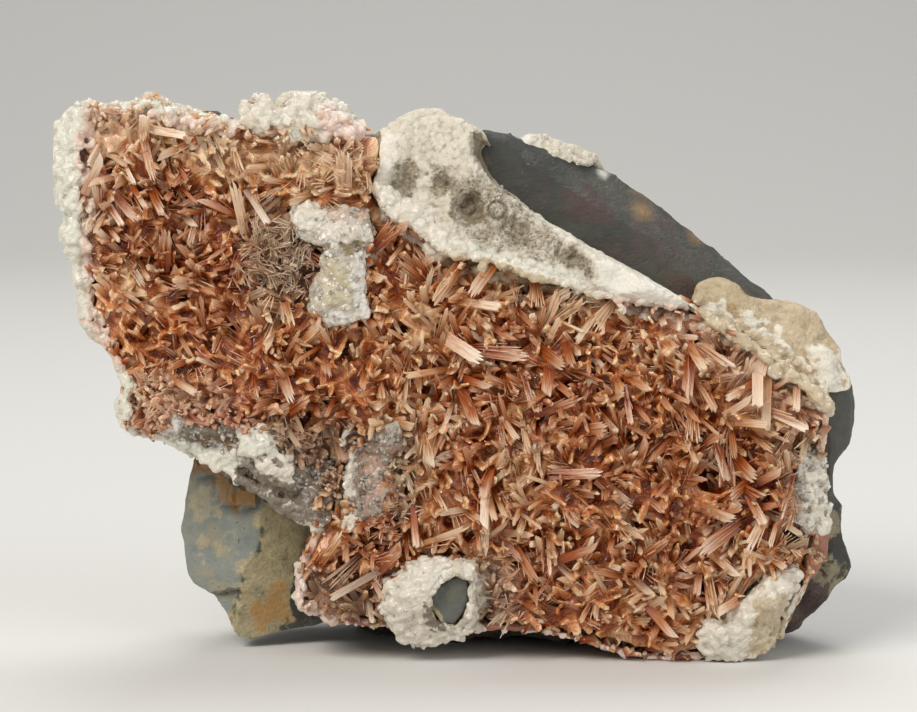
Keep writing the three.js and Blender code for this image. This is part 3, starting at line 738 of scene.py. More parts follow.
def brokenRock():
    settings = rockSettings
    rock = freeCopy("matrix_rock", "darkRock")
    remesh(rock, settings["chip"])
    hackly = 1 - 0.85 * zone(seen(drawn(rock)), settings["smooth"], 3) * facing(rock)
    for size, height in settings["lumps"]:
        roughen(rock, "CLOUDS", size, height, hackly)
    facets = rock.modifiers.new("facets", "DECIMATE")
    facets.ratio = settings["facets"]
    applyAll(rock)
    remesh(rock, settings["grain"], 1)
    hackly = 1 - 0.95 * zone(seen(drawn(rock)), [*settings["smooth"], settings["foot"]], 3) * facing(rock)
    for size, height in settings["shells"]:
        roughen(rock, "VORONOI", size, height, hackly, 0.3)
    shapeFoot(rock)
    granular = 1 - 0.85 * zone(seen(drawn(rock)), [*settings["smooth"], settings["foot"]], 2) * facing(rock)
    roughen(rock, "CLOUDS", *settings["grit"], granular, detail=3)
    points = drawn(rock)
    for u, v, radius, lift in settings["shoulder"]:
        points[:, 2] += lift * spots(seen(points), [(u, v, radius)])
    redraw(rock, points)
    keepInside(rock)
    for name, outlines in rockColours.items():
        storeZones(rock, {name: outlines}, 0.9 if name in settings["crisp"] else 2.2)
    markHollows(rock, 6, 0.25)
    return finishPiece(rock, rockMaterial(), "dark_rock", "matrix_rock")


def shapeFoot(rock):
    # the foot's two faces meet in a crease and fall away from it, with a crack under the left one
    settings = rockSettings
    points = drawn(rock)
    places = seen(points)
    creaseU, creaseV = zip(*settings["crease"])
    right = places[:, 0] - np.interp(places[:, 1], creaseV, creaseU)
    depth = settings["footDepth"] + np.where(right < 0, *settings["footFall"]) * right
    depth += settings["slabDepth"] * inside(places, settings["slab"], 0.3)
    amount = inside(places, settings["foot"], 2) * facing(rock)
    move = depth - points[:, 1]
    points[:, 1] += move * np.where(np.abs(move) < 3, amount, 0)  # the hidden sides more than 3 mm away stay
    redraw(rock, points)
    pressed(rock, settings["rust"], 0.4)


darkRock = brokenRock()

# bed of the druse

bedSettings = dict(
    start=3.5,  # depth of the crystal face at the base, and how it leans back
    lean=0.075,
    hollows=[(-27, 52, 8, 1.5), (-14, 24, 5.5, 3.3), (-33, 36, 6, 0.8), (14, 24, 14, -2.2),
             (-1, 26, 6, -1.0),
             (33, 24, 5, 1.2), (-5, 47, 4, 1.6), (11, 13, 5, 1.0)],  # x, z, radius and depth
    sunk=0.8,
    grain=0.5,
    # right, up and radius of the dark gaps between sprays
    pockets=[(-33.9, 22.5, 1.6), (-39.4, 21.6, 1.3), (-32.6, 17, 1.5), (-31, 13.2, 1.3), (-35.3, 10.7, 1.2),
             (-30.5, 6.4, 1.4), (-25.3, 3, 1.3), (-36.2, 3, 1.2), (-7.2, 16, 1.0), (-8, 12.6, 1.2),
             (-3.5, -4.5, 1.3), (3.7, -2, 1.2), (12.2, -3.6, 1.5), (9.9, -5.5, 1.1), (16.8, -4.1, 1.0),
             (17.4, -9.5, 1.6), (20.6, -9.5, 1.7), (12.9, -9.1, 1.2), (7, 7.5, 1.2), (4.3, 8.2, 1.0),
             (28.9, -14.1, 1.8), (27, 1.8, 1.1), (38.8, -10, 1.6), (36, -9.5, 1.2), (34.7, -4.4, 0.9),
             (29.9, 0.7, 1.2), (37.7, -20.9, 1.6), (27.4, -26.6, 1.4), (20.6, -18.6, 1.4),
             (14.9, -20.9, 1.3),
             (-1, -18.6, 1.3), (1.3, -20.3, 1.2), (-13.5, -23.2, 1.6), (-6.6, -27.7, 1.0), (-18, -7.3, 1.6),
             (-14.6, -5, 1.3), (-28.2, -7.3, 1.3), (-20.9, -5, 1.2), (-16.9, 0.7, 1.2), (-12.3, 0.7, 1.3),
             (-6.6, 3, 1.2), (-2.1, 3, 1.1), (9.3, -14.1, 1.3), (18.4, -26.6, 1.3), (11.5, -27.7, 1.2),
             (7, -23.2, 1.2), (22.9, -13, 1.2), (-6.6, -8.4, 1.1), (33.1, -28.9, 1.1), (23.7, -32.3, 1.0)],
    pocketDepth=2.6,
    pocketCore=0.35,  # in a gap's core this share of the blades is left out
    bareShare=0.85,
)


def faceDepth(x, z):
    settings = bedSettings
    depth = settings["start"] + settings["lean"] * z
    for middleX, middleZ, radius, deep in settings["hollows"]:
        depth = depth + deep * np.exp(-((x - middleX) ** 2 + (z - middleZ) ** 2) / radius**2)
    return depth


def druseBed():
    bed = freeCopy("inesite_druse", "inesiteBed")
    points = drawn(bed)
    face = faceDepth(points[:, 0], points[:, 2]) + bedSettings["sunk"]
    points[:, 1] = np.maximum(points[:, 1], face)  # the solid's own blades are pressed flat
    redraw(bed, points)
    remesh(bed, bedSettings["grain"], 4)
    points = drawn(bed)
    points[:, 1] += bedSettings["pocketDepth"] * spots(seen(points), bedSettings["pockets"]) * facing(bed)
    redraw(bed, points)
    roughen(bed, "CLOUDS", 5.5, 2.8)
    roughen(bed, "CLOUDS", 1.4, 0.8, detail=2)
    keepInside(bed)
    return bed


bed = druseBed()
bedTree = BVHTree.FromObject(bed, bpy.context.evaluated_depsgraph_get())

# calcite layer

calciteSettings = dict(
    grain=0.45,
    headland=[(-10.5, 29.1), (6.1, 29.1), (6.1, 18.9), (16.1, 11.5), (27.4, 5.8), (26.3, 4.3),
              (16.1, 6.4), (11.5, 7.3), (-2.1, 10), (-11, 14.8)],
    rim=[(-46.9, 31.4), (-33.9, 31.4), (-24.8, 28.6), (-25.3, 25.9), (-35.1, 26.6), (-40.7, 25.9),
         (-41.2, 3), (-36.2, -10.1), (-40.2, -10.7), (-46.9, 10.9)],
    tufts=[[(-24.5, 30), (-21.4, 30), (-21, 26.6), (-24.5, 26.6)],
           [(-20.7, 30.7), (-14.6, 30.5), (-10.5, 25.9), (-11.6, 24.5), (-20.7, 24.8)]],
    moves=[  # back behind the dark slope, then forward to the tan crust and to two smooth rims
        ([(1.8, 25.9), (6.4, 25.9), (7, 17.7), (5.4, 18.2), (2.9, 20.7), (1.5, 23.4)], 7.0),
        ([(26.3, 6.1), (32.6, 5), (38.8, 0.5), (42.4, -5.6), (38.8, -6.4), (33.7, -1), (27.4, 3)], -2.4),
        ([(-10.5, 19.8), (-8.5, 19.1), (-5.7, 17.3), (-3.2, 16.1), (-3.9, 14.5), (-7.1, 15), (-10.3, 17)],
         -0.5),
        ([(14.7, 11.6), (20.6, 9.1), (26.3, 6), (25.2, 5.1), (20.6, 6.1), (15.6, 8)], -0.6),
    ],
    dips=[(-44.1, 29.7, 3.0, 1.2), (-39.4, 30, 4.0, 1.6), (-31.1, 30, 4.0, 1.2), (-26.5, 29.1, 4.0, 1.2),
          (3.2, 26.4, 3.0, 0.8), (5.4, 25.9, 3.0, 2.2)],  # right, up, radius and drop of the top edge
    # pattern, size, height, where and detail
    relief=[("VORONOI", 2.6, -1.1, "rim", 0), ("CLOUDS", 2.2, 0.9, "rim", 2),
            ("VORONOI", 1.3, -1.3, "tufts", 0),
            ("VORONOI", 0.7, -0.35, "headland", 0), ("CLOUDS", 1.3, 0.55, "all", 4)],
    pits=[(1.1, 16.8, 2.2, 1.9), (-6.9, 19.8, 1.8, 0.6), (-1.3, 20.2, 1.6, 0.6), (6.8, 14.3, 2.0, 0.8),
          (13.1, 10.7, 1.6, 0.6)],
    ring=(4.4, 16.6, 0.95),  # a cracked ring: middle and radius
)
calciteColours = dict(
    soiled=[[(-7.7, 22), (-6.2, 22.3), (-4.4, 21.1), (-4.8, 18), (-6.6, 17.7), (-7.8, 19.5)],
            [(-4.4, 21.4), (-1.4, 21.6), (-0.1, 19.8), (-1.9, 18.2), (-3.9, 19.1)],
            [(-0.7, 20.5), (2.4, 21.1), (5.4, 18.9), (11.5, 13.6), (16.1, 10.7), (15.2, 8.6), (9.9, 10.7),
             (4.7, 12), (0.4, 13.2), (-1, 17)]],
    olive=[[(-7.6, 21.8), (-5.3, 21.8), (-4.8, 18.4), (-7.1, 18.4)],
           [(-3.2, 20.9), (-1, 20.9), (-0.7, 18.9), (-3, 18.9)],
           [(0.4, 18.6), (2.9, 18.4), (2.9, 15.2), (0.4, 15.5)],
           [(5.2, 15.9), (8.1, 15.2), (8.1, 12.5), (5.4, 13.2)],
           [(11.1, 13), (15.2, 11.1), (14.7, 9.1), (11.5, 10.5)]],
    clean=[[(14.7, 11.8), (18.8, 10.2), (26.5, 6), (25.4, 5), (20.6, 6), (16.1, 7.5)],
           [(-10.5, 20), (-8.5, 19.3), (-5.5, 17.4), (-3.2, 16.4), (-3.9, 14.4), (-7.1, 14.9)],
           [(-8.9, 25), (-7.3, 25.5), (-7.6, 20.2), (-9.8, 20.2)],
           [(-35.1, -6.1), (-32.1, -6.1), (-31.9, -8.4), (-34.1, -8.9)]],
    green=[[(-46.9, 31.4), (-41.6, 30.5), (-43, 24.5), (-43.5, 14.3), (-41.2, 3), (-46.9, 3)],
           [(-38.5, 30.7), (-24.8, 28), (-25.3, 26.6), (-35.1, 27.7)],
           [(-2.1, 13.4), (4.7, 12), (14.9, 9.1), (13.8, 6.8), (4.7, 9.1), (-2.1, 10.7)],
           [(-31.6, -10.2), (-25.3, -10.5), (-25.7, -12.3), (-31.2, -12)]],
    tan=[[(26.3, 6.4), (32.6, 5), (38.8, 0.5), (42.4, -5.6), (38.8, -6.4), (33.7, -1), (27.4, 3)],
         [(-29.4, -9.1), (-25.1, -9.1), (-25.3, -11.4), (-28.9, -11.2)]],
    umber=[[(-31, -11.4), (-25.3, -12), (-14.6, -15.9), (-13.9, -20.2), (-20.3, -19.1), (-30.5, -13.9)]],
    russet=[[(-18.5, -27.7), (-8.9, -30.9), (2.4, -32.3), (2.4, -29.1), (11.5, -27.7), (27.4, -30),
             (27.4, -35.9), (2.4, -35), (-18, -33.4)],
            [(41.1, -18.6), (44.5, -18.6), (42.2, -27.7), (37.7, -30), (39.9, -25.5)]],
)


def sugaryCalcite():
    settings = calciteSettings
    calcite = freeCopy("calcite_layer", "calciteLayer")
    remesh(calcite, settings["grain"], 6)
    pressed(calcite, settings["moves"], 0.7)
    points = drawn(calcite)
    for u, v, radius, drop in settings["dips"]:
        points[:, 2] -= drop * spots(seen(points), [(u, v, radius)])
    redraw(calcite, points)
    roughen(calcite, "CLOUDS", 5.0, 1.0)
    places, front = seen(drawn(calcite)), facing(calcite)
    rim = inside(places, settings["rim"], 1)
    tufts = zone(places, settings["tufts"], 1)
    refine(calcite, np.maximum(np.maximum(rim, tufts), inside(places, settings["headland"], 1) * front))
    points = drawn(calcite)
    places, front = seen(points), facing(calcite)
    for u, v, radius, depth in settings["pits"]:
        points[:, 1] += depth * spots(places, [(u, v, radius)]) * front
    redraw(calcite, points)
    headland = inside(places, settings["headland"], 1) * front
    smooth = zone(places, calciteColours["clean"], 1) * front
    weights = dict(rim=inside(places, settings["rim"], 1), tufts=zone(places, settings["tufts"], 1),
                   headland=headland * (1 - 0.85 * smooth), all=1 - 0.7 * smooth)
    for kind, size, height, where, detail in settings["relief"]:
        roughen(calcite, kind, size, height, weights[where], detail=detail)
    keepInside(calcite)
    storeZones(calcite, calciteColours, 1.8)
    gap = np.array([bedTree.find_nearest(Vector(point))[3] for point in coordinates(calcite.data)]) / mm
    store(calcite, "pinkish", np.clip(1.5 - gap / 1.6, 0, 1) * (1 - headland) * front)
    away = np.linalg.norm(places - settings["ring"][:2], axis=1)
    store(calcite, "crack", np.clip(1.4 - np.abs(away - settings["ring"][2]) / 0.2, 0, 1) * front)
    markHollows(calcite, 8, 0.25)
    return finishPiece(calcite, calciteStone, "calcite", "calcite_layer")


calciteStone = calciteMaterial()
calciteLayer = sugaryCalcite()
print("rock, bed and calcite shaped")

# lumps among the blades, and the ridge cap

milkyQuartz = quartzMaterial()
lumps = {
    "quartz_plate": dict(
        name="quartzPlate", grain=0.27, size=1.6, height=0.9, base="quartz", slot="drusy_quartz",
        moves=[([(-13.5, 13.6), (-11.4, 13.6), (-11.2, 12), (-13.2, 11.8)], 0.8),
               ([(-16.2, 12.5), (-15.1, 12.5), (-15.1, 11.6), (-16.2, 11.6)], 0.7)],
        zones=dict(pinkish=[[(-16, 17), (-9.1, 17), (-9.6, 14.1), (-15.7, 14.1)]],
                   olive=[[(-13.5, 13.6), (-11.2, 13.6), (-11.2, 11.8), (-13.2, 11.8)],
                          [(-16.4, 12.7), (-14.8, 12.7), (-14.8, 11.4), (-16.4, 11.4)]],
                   clean=[[(-19.4, 17.7), (-15.5, 17.3), (-15.3, 14.3), (-19.1, 14.3)],
                          [(-15.5, 14.8), (-9.8, 15), (-9.8, 12.7), (-15.1, 12.7)],
                          [(-12.1, 11.8), (-9.4, 11.8), (-9.8, 3.6), (-11.9, 3.6)],
                          [(-15.7, 5.5), (-10.1, 5.5), (-10.1, 3), (-15.7, 3)]],
                   ochre=[[(-15.5, 10.7), (-11.6, 10.7), (-11.9, 5.7), (-16, 5.7)]]),
    ),
    "quartz_ring": dict(
        name="quartzRing", grain=0.25, size=1.2, height=0.8, base="calcite", slot="drusy_quartz",
        moves=[([(1.8, -23.2), (6.3, -23.2), (6.3, -32.3), (1.8, -32.3)], 2.2)],
        zones=dict(clean=[[(-9.8, -23.6), (-0.7, -23.2), (-1.4, -25.5), (-3.2, -26.1), (-3.9, -28.4),
                           (-2.6, -30.9), (1.3, -31.6), (1.3, -34.1), (-8.9, -34.1)]],
                   pinkish=[[(-8.2, -28.6), (-5.5, -28.6), (-5.3, -32.3), (-7.8, -32.3)]],
                   tan=[[(-4.3, -28), (-3, -28.4), (-0.7, -30.7), (-1.4, -31.8), (-3.9, -30.7)]]),
    ),
    "quartz_knob": dict(
        name="quartzKnob", grain=0.25, size=1.6, height=0.8, base="quartz", slot="drusy_quartz",
        moves=[([(-11.2, -10.9), (-5.5, -10.9), (-5.5, -17.7), (-11, -17.7)], 1.2)],
        zones=dict(smoky=[[(-12.1, -9.5), (-5.5, -9.5), (-5.5, -20.9), (-12.1, -20.9)]],
                   pinkish=[[(-11.4, -10.5), (-5.3, -10.5), (-5.3, -18.2), (-11.2, -18.2)]],
                   clean=[[(-13.7, -7.7), (-11, -7.7), (-12.1, -11.8), (-12.3, -16.4), (-11, -20.5),
                           (-13.5, -20.5)]]),
    ),
    "quartz_ledge": dict(
        name="quartzLedge", grain=0.3, size=1.8, height=1.0, base="quartz", slot="drusy_quartz",
        moves=[([(-24.8, -8), (-21, -8.4), (-21, -11.1), (-24.8, -11.1)], -0.7),
               ([(-23.1, -11.4), (-19.4, -11.6), (-19.1, -14.5), (-22.3, -14.8)], -0.8),
               ([(-18.9, -10.9), (-12.9, -10.9), (-12.9, -16.4), (-18.9, -15.9)], 0.6),
               ([(-29.8, -9.1), (-25.1, -9.1), (-25.1, -10.7), (-29.4, -10.7)], 0.7),
               ([(-35.3, -5.9), (-31.9, -6.1), (-31.9, -8.6), (-35.1, -8.6)], -0.5)],
        zones=dict(smoky=[[(-32.1, -5), (-24.8, -6.8), (-24.8, -10.7), (-31.9, -9.5)],
                          [(-21.4, -8.4), (-12.6, -9.5), (-12.3, -17.7), (-19.6, -17)]],
                   pinkish=[[(-38.7, -3.2), (-33, -3.2), (-33.5, -9.5), (-38.2, -9.5)]],
                   rust=[[(-29.6, -8.9), (-25.1, -9.1), (-25.1, -11.4), (-29.1, -11.2)],
                         [(-19.6, -14.8), (-15.1, -15.7), (-15.5, -17.7), (-19.1, -17)]],
                   clean=[[(-35.5, -5.9), (-31.6, -6.1), (-31.6, -8.9), (-35.1, -8.9)],
                          [(-25.1, -8), (-20.7, -8.4), (-20.7, -11.4), (-24.8, -11.4)],
                          [(-23.2, -11.4), (-19.1, -11.6), (-18.9, -14.8), (-22.3, -14.8)],
                          [(-31.6, -10.2), (-25.3, -10.7), (-25.3, -12.5), (-31.2, -12.3)],
                          [(-18.9, -15.7), (-15.1, -16.4), (-15.3, -18), (-18.7, -17.3)]]),
    ),
    "quartz_edge": dict(
        name="quartzEdge", grain=0.25, size=1.1, height=0.8, base="quartz", slot="drusy_quartz",
        moves=[([(40.2, -14.1), (42, -14.1), (42, -16.1), (40.2, -16.1)], 1.2),
               ([(39.3, -16.4), (40.4, -16.4), (40.4, -17.7), (39.3, -17.7)], 0.8)],
        zones=dict(smoky=[[(39.7, -13.6), (42, -13.9), (42, -16.4), (39.5, -16.4)]],
                   clean=[[(38.8, -11.2), (43.4, -11.2), (43.4, -13.9), (39, -13)],
                          [(41.8, -13.9), (43.4, -13.9), (43.4, -20.9), (41.1, -20.9)],
                          [(38.8, -17), (41.5, -17), (41.5, -20.2), (39.3, -20.2)]]),
    ),
    "calcite_patch": dict(
        name="calcitePatch", grain=0.28, size=1.8, height=0.9, base="calcite", slot="calcite",
        moves=[([(33.8, -28.6), (35.4, -28.9), (35.4, -30.9), (34, -30.9)], 0.9)],
        zones=dict(clean=[[(27.2, -30), (32, -27.7), (38.4, -24.1), (38.4, -26.6), (33.4, -29.1),
                           (32, -35), (27.4, -35)]],
                   olive=[[(33.6, -28.4), (35.6, -28.6), (35.6, -31.1), (33.8, -31.1)]],
                   tan=[[(33.8, -27.5), (37.7, -26.6), (37.2, -34.1), (32.9, -34.1)]]),
    ),
    "ridge_cap": dict(
        name="ridgeCap", grain=0.35, size=2.2, height=1.1, base="calcite", slot="calcite", moves=[],
        lowered=0.5,
        zones=dict(clean=[[(5.3, 25.7), (8.1, 25.7), (9.3, 24), (5.3, 24)]]),
    ),
}


def growLump(node, settings):
    lump = freeCopy(node, settings["name"])
    remesh(lump, settings["grain"], 5)
    pressed(lump, settings["moves"], 0.6)
    if "lowered" in settings:
        redraw(lump, drawn(lump) - (0, 0, settings["lowered"]))
    roughen(lump, "CLOUDS", settings["size"], settings["height"], detail=3)
    roughen(lump, "VORONOI", 0.8, -0.35)
    keepInside(lump)
    storeZones(lump, settings["zones"], 1.5)
    markHollows(lump, 6, 0.2)
    material = milkyQuartz if settings["base"] == "quartz" else calciteStone
    return finishPiece(lump, material, settings["slot"], node)


grownLumps = {node: growLump(node, settings) for node, settings in lumps.items()}

# tan crust and the dark fragment

crustSettings = dict(
    grain=0.36,
    moves=[([(29.3, 5.7), (31.8, 5.5), (31.8, 3.2), (29.5, 3.2)], 0.5),
           ([(40.2, 1.1), (45.2, 0.7), (45.2, -4.5), (40.4, -4.5)], -0.4)],
    zones=dict(ochre=[[(29.3, 5.7), (31.5, 5.5), (32, 3.4), (29.9, 3)],
                      [(39.3, -0.2), (41.1, -0.5), (41.1, -2.5), (39.5, -2.3)]],
               clean=[[(40.2, 0.9), (43.4, 0.7), (45.2, -4.5), (40.9, -4.5)],
                      [(31.8, 5.5), (36.1, 3.2), (36.1, 1.4), (32, 3)],
                      [(26.3, 5.9), (29.9, 5.9), (29.7, 4.3), (26.5, 4.5)]],
               green=[[(25.9, 10), (32.9, 9.1), (32.9, 4.8), (26.3, 5)],
                      [(31.3, 3.4), (37.4, 1.4), (37.4, -0.7), (31.8, 1.1)]]),
)


def stainedCrust():
    crust = freeCopy("tan_crust", "tanCrust")
    remesh(crust, crustSettings["grain"], 5)
    pressed(crust, crustSettings["moves"], 0.7)
    roughen(crust, "CLOUDS", 3.0, 0.8, detail=2)
    roughen(crust, "CLOUDS", 0.9, 0.4, detail=3)
    keepInside(crust)
    storeZones(crust, crustSettings["zones"], 1.8)
    markHollows(crust, 8, 0.25)
    return finishPiece(crust, tanMaterial(), "iron_stained_crust", "tan_crust")


tanCrust = stainedCrust()


def darkFragment():
    fragment = freeCopy("rock_inclusion", "rockFragment")
    remesh(fragment, 0.22, 2)
    roughen(fragment, "CLOUDS", 1.5, 0.15, detail=2)
    storeZones(fragment, dict(ochre=[[(-4.3, -28), (-3, -28.2), (-1, -30.7), (-3.9, -30.9)]]))
    store(fragment, "bluish", np.full(len(fragment.data.vertices), 0.47))
    markHollows(fragment, 6, 0.3)
    return finishPiece(fragment, darkRock.data.materials[0], "dark_rock", "rock_inclusion")


darkFragment()
print("lumps, crust and fragment shaped")

# crystal models, in millimetres along +Z from a root at the origin, copied by the thousand below

modelLength = 5  # of each blade model, which a copy stretches to its own length


def lath(width, thickness, length, cuts, tips, groove=0.0, turn=0.0, shift=(0, 0, 0), waist=1.0):
    # strips of a flat blade, parted by the cuts, end at heights of their own and meet in grooves
    bpy.ops.object.select_all(action="DESELECT")
    bpy.ops.mesh.primitive_cube_add(size=1, location=(0, 0, length / 2), scale=(width, thickness, length))
    piece = bpy.context.object
    bpy.ops.object.transform_apply(location=True, rotation=False, scale=True)
    bpy.ops.object.mode_set(mode="EDIT")
    for cut in cuts:
        bpy.ops.mesh.select_all(action="SELECT")
        bpy.ops.mesh.bisect(plane_co=(cut * width, 0, 0), plane_no=(1, 0, 0))
    for at, lift in zip((-0.5, *cuts, 0.5), tips):
        selectWhere(piece, lambda co: abs(co.x - at * width) < 0.01 and co.z > 0.9 * length)
        bpy.ops.transform.translate(value=(0, 0, lift))
    for at, side in [(at, side) for at in cuts[::2] for side in (-1, 1)]:
        selectWhere(piece, lambda co: abs(co.x - at * width) < 0.01 and co.y * side > 0)
        bpy.ops.transform.translate(value=(0, -side * groove, 0))
    selectWhere(piece, lambda co: co.z > 0.7 * length)
    bpy.ops.transform.resize(value=(waist, 0.75, 1), center_override=(0, 0, length))
    bpy.ops.object.mode_set(mode="OBJECT")
    piece.rotation_euler = (0, math.radians(turn), 0)
    piece.location = shift
    bpy.ops.object.transform_apply(location=True, rotation=True, scale=False)
    return piece


def joined(parts):
    bpy.ops.object.select_all(action="DESELECT")
    for part in parts:
        part.select_set(True)
    bpy.context.view_layer.objects.active = parts[0]
    bpy.ops.object.join()
    return bpy.context.object


def asModel(piece):
    # reads a finished model into arrays for copying and takes its object away
    mesh = piece.data
    points = coordinates(mesh)
    loops = np.empty(len(mesh.loops), np.int32)
    mesh.loops.foreach_get("vertex_index", loops)
    sizes = np.empty(len(mesh.polygons), np.int32)
    mesh.polygons.foreach_get("loop_total", sizes)
    bpy.data.objects.remove(piece)
    return dict(points=points, loops=loops, sizes=sizes,
                along=np.clip(points[:, 2] / points[:, 2].max(), 0, 1))


def frayed(width, lags, spread, dips):
    # strands side by side that open a little towards tips of their own
    step = width / len(lags)
    strands = []
    for i, (lag, dip) in enumerate(zip(lags, dips)):
        share = (i + 0.5) / len(lags) - 0.5
        strands.append(lath(1.25 * step, 0.24, modelLength - lag, (), (0.0, -0.3 - 0.3 * (i % 2)), 0,
                            spread * share,
                            (0.9 * width * share, dip, 0), 0.75))
    return joined(strands)


bladeModels = {
    "broad": lambda: frayed(1.2, (0.7, 0.2, 0.0, 0.35, 0.15, 0.8), 2, (0, 0.05, -0.04, 0.05, -0.03, 0.04)),
    "frayed": lambda: frayed(1.0, (0.2, 0.0, 0.5, 0.3, 0.9), 3, (0.03, -0.04, 0.05, -0.02, 0.04)),
    "split": lambda: frayed(0.7, (0.5, 0.0, 0.9), 3, (0.04, -0.03, 0.05)),
    "square": lambda: lath(0.8, 0.5, modelLength, (-0.1, 0.24), (-0.15, 0.05, -0.3, -0.1), 0.04,
                           waist=0.95),
    "stepped": lambda: lath(0.8, 0.45, modelLength, (-0.2, 0.05, 0.3), (-0.8, 0.0, 0.1, -0.5, -0.6), 0.05,
                            waist=0.9),
    "slim": lambda: lath(0.5, 0.42, modelLength, (0.1,), (-0.2, 0.05, -0.4), 0.03, waist=0.85),
    "chisel": lambda: lath(0.9, 0.4, modelLength, (-0.15, 0.2), (0.0, -0.3, -0.6, -1.1), 0.04, waist=0.9),
    "pair": lambda: joined([lath(0.5, 0.24, modelLength, (0.1,), (-0.3, 0.1, -0.3), 0.03, -2,
                                 (-0.2, 0, 0), 0.85),
                            lath(0.42, 0.22, 4.2, (-0.1,), (0.0, -0.2, -0.5), 0.03, 4, (0.24, 0.1, 0),
                                 0.85)]),
    "sheaf": lambda: frayed(1.3, (0.6, 0.0, 1.7, 0.3, 1.1, 0.2, 1.4), 17,
                            (0, 0.09, -0.06, 0.06, -0.03, 0.05, 0)),
    "needles": lambda: joined([lath(0.2, 0.15, modelLength - lag, (), (0.0, -0.5), 0, turn,
                                    (turn / 20, 0, 0), 0.6)
                               for lag, turn in ((0.9, -6), (0, 1), (1.4, 7))]),
    "hair": lambda: joined([lath(0.1, 0.1, modelLength - lag, (), (0.0, -0.3), 0, turn, (turn / 40, 0, 0),
                                 0.5)
                            for lag, turn in ((0.9, -4), (0, 1), (1.6, 5))]),
}
blades = {name: asModel(build()) for name, build in bladeModels.items()}
modelWidths = {name: float(np.ptp(model["points"][:, 0])) for name, model in blades.items()}


def quartzPoint():
    # a six-sided prism that tapers to a blunt point
    bpy.ops.object.select_all(action="DESELECT")
    bpy.ops.mesh.primitive_cone_add(vertices=6, radius1=0.5, radius2=0.42, depth=0.9, location=(0, 0, 0.45))
    piece = bpy.context.object
    bpy.ops.object.transform_apply(location=True, rotation=False, scale=False)
    selectWhere(piece, lambda co: co.z > 0.8)
    bpy.ops.mesh.extrude_region_move(TRANSFORM_OT_translate={"value": (0.05, 0, 0.4)})
    bpy.ops.mesh.merge(type="CENTER")
    bpy.ops.object.mode_set(mode="OBJECT")
    return piece


def calciteGrain(blocky):
    # a knob or a squat rhomb, a millimetre across
    bpy.ops.object.select_all(action="DESELECT")
    if blocky:
        bpy.ops.mesh.primitive_cube_add(size=0.85)
        bpy.ops.object.mode_set(mode="EDIT")
        bpy.ops.mesh.bevel(offset=0.1, segments=1)
        bpy.ops.transform.vertex_random(offset=0.06, seed=4)
    else:
        bpy.ops.mesh.primitive_ico_sphere_add(subdivisions=2, radius=0.5)
        bpy.ops.object.mode_set(mode="EDIT")
        bpy.ops.mesh.select_all(action="SELECT")
        bpy.ops.transform.vertex_random(offset=0.12, seed=9)
    bpy.ops.object.mode_set(mode="OBJECT")
    return bpy.context.object


quartzModel = asModel(quartzPoint())
grainModels = {"knob": asModel(calciteGrain(False)), "rhomb": asModel(calciteGrain(True))}
print("crystal models ready")

grainShift = (97.0, 0.3)  # moves each blade's grain by its tone: mm across, and share of that along


def gathered(name, copies, keys=("tone", "pale", "lilac", "ashen")):
    # joins copies of the models in one mesh: each copy is a model, a 4x4 matrix and its features
    places, loops, sizes, grain = [], [], [], []
    features = {key: [] for key in ("along", *keys)}
    start = 0
    for model in {id(copy["model"]): copy["model"] for copy in copies}.values():
        chosen = [copy for copy in copies if copy["model"] is model]
        turns = np.array([copy["matrix"] for copy in chosen])
        points = model["points"]
        placed = np.einsum("mij,nj->mni", turns[:, :3, :3], points) + turns[:, None, :3, 3]
        places.append(placed.reshape(-1, 3))
        starts = start + len(points) * np.arange(len(chosen))
        loops.append((model["loops"][None] + starts[:, None]).ravel())
        sizes.append(np.tile(model["sizes"], len(chosen)))
        scales = np.linalg.norm(turns[:, :3, :3], axis=1) / mm  # of each copy's width, thickness and length
        across = points[None, :, 0] * scales[:, :1] + points[None, :, 1] * scales[:, 1:2]
        offsets = np.array([copy["tone"] for copy in chosen])[:, None] * grainShift[0]
        onLoops = np.stack([across + offsets,
                            points[None, :, 2] * scales[:, 2:] + grainShift[1] * offsets], 2)
        grain.append(onLoops[:, model["loops"]].reshape(-1, 2))
        features["along"].append(np.tile(model["along"], len(chosen)))
        for key in keys:
            features[key].append(np.repeat([copy.get(key, 0.0) for copy in chosen], len(points)))
        start += len(points) * len(chosen)
    mesh = bpy.data.meshes.new(name)
    mesh.vertices.add(start)
    mesh.vertices.foreach_set("co", np.clip(np.concatenate(places), *cadBox).ravel())
    loops = np.concatenate(loops)
    sizes = np.concatenate(sizes)
    mesh.loops.add(len(loops))
    mesh.loops.foreach_set("vertex_index", loops.astype(np.int32))
    mesh.polygons.add(len(sizes))
    mesh.polygons.foreach_set("loop_start", (np.cumsum(sizes) - sizes).astype(np.int32))
    mesh.polygons.foreach_set("loop_total", sizes.astype(np.int32))
    mesh.update(calc_edges=True)
    mesh.uv_layers.new(name="grain").data.foreach_set("uv",
                                                      np.concatenate(grain).astype(np.float32).ravel())
    piece = bpy.data.objects.new(name, mesh)
    bpy.context.scene.collection.objects.link(piece)
    mesh.shade_flat()
    for key, values in features.items():
        store(piece, key, np.concatenate(values))
    return piece


def plant(name, copies, material, slotName, **settings):
    return finishPiece(gathered(name, copies, **settings), material, slotName)


# inesite blades

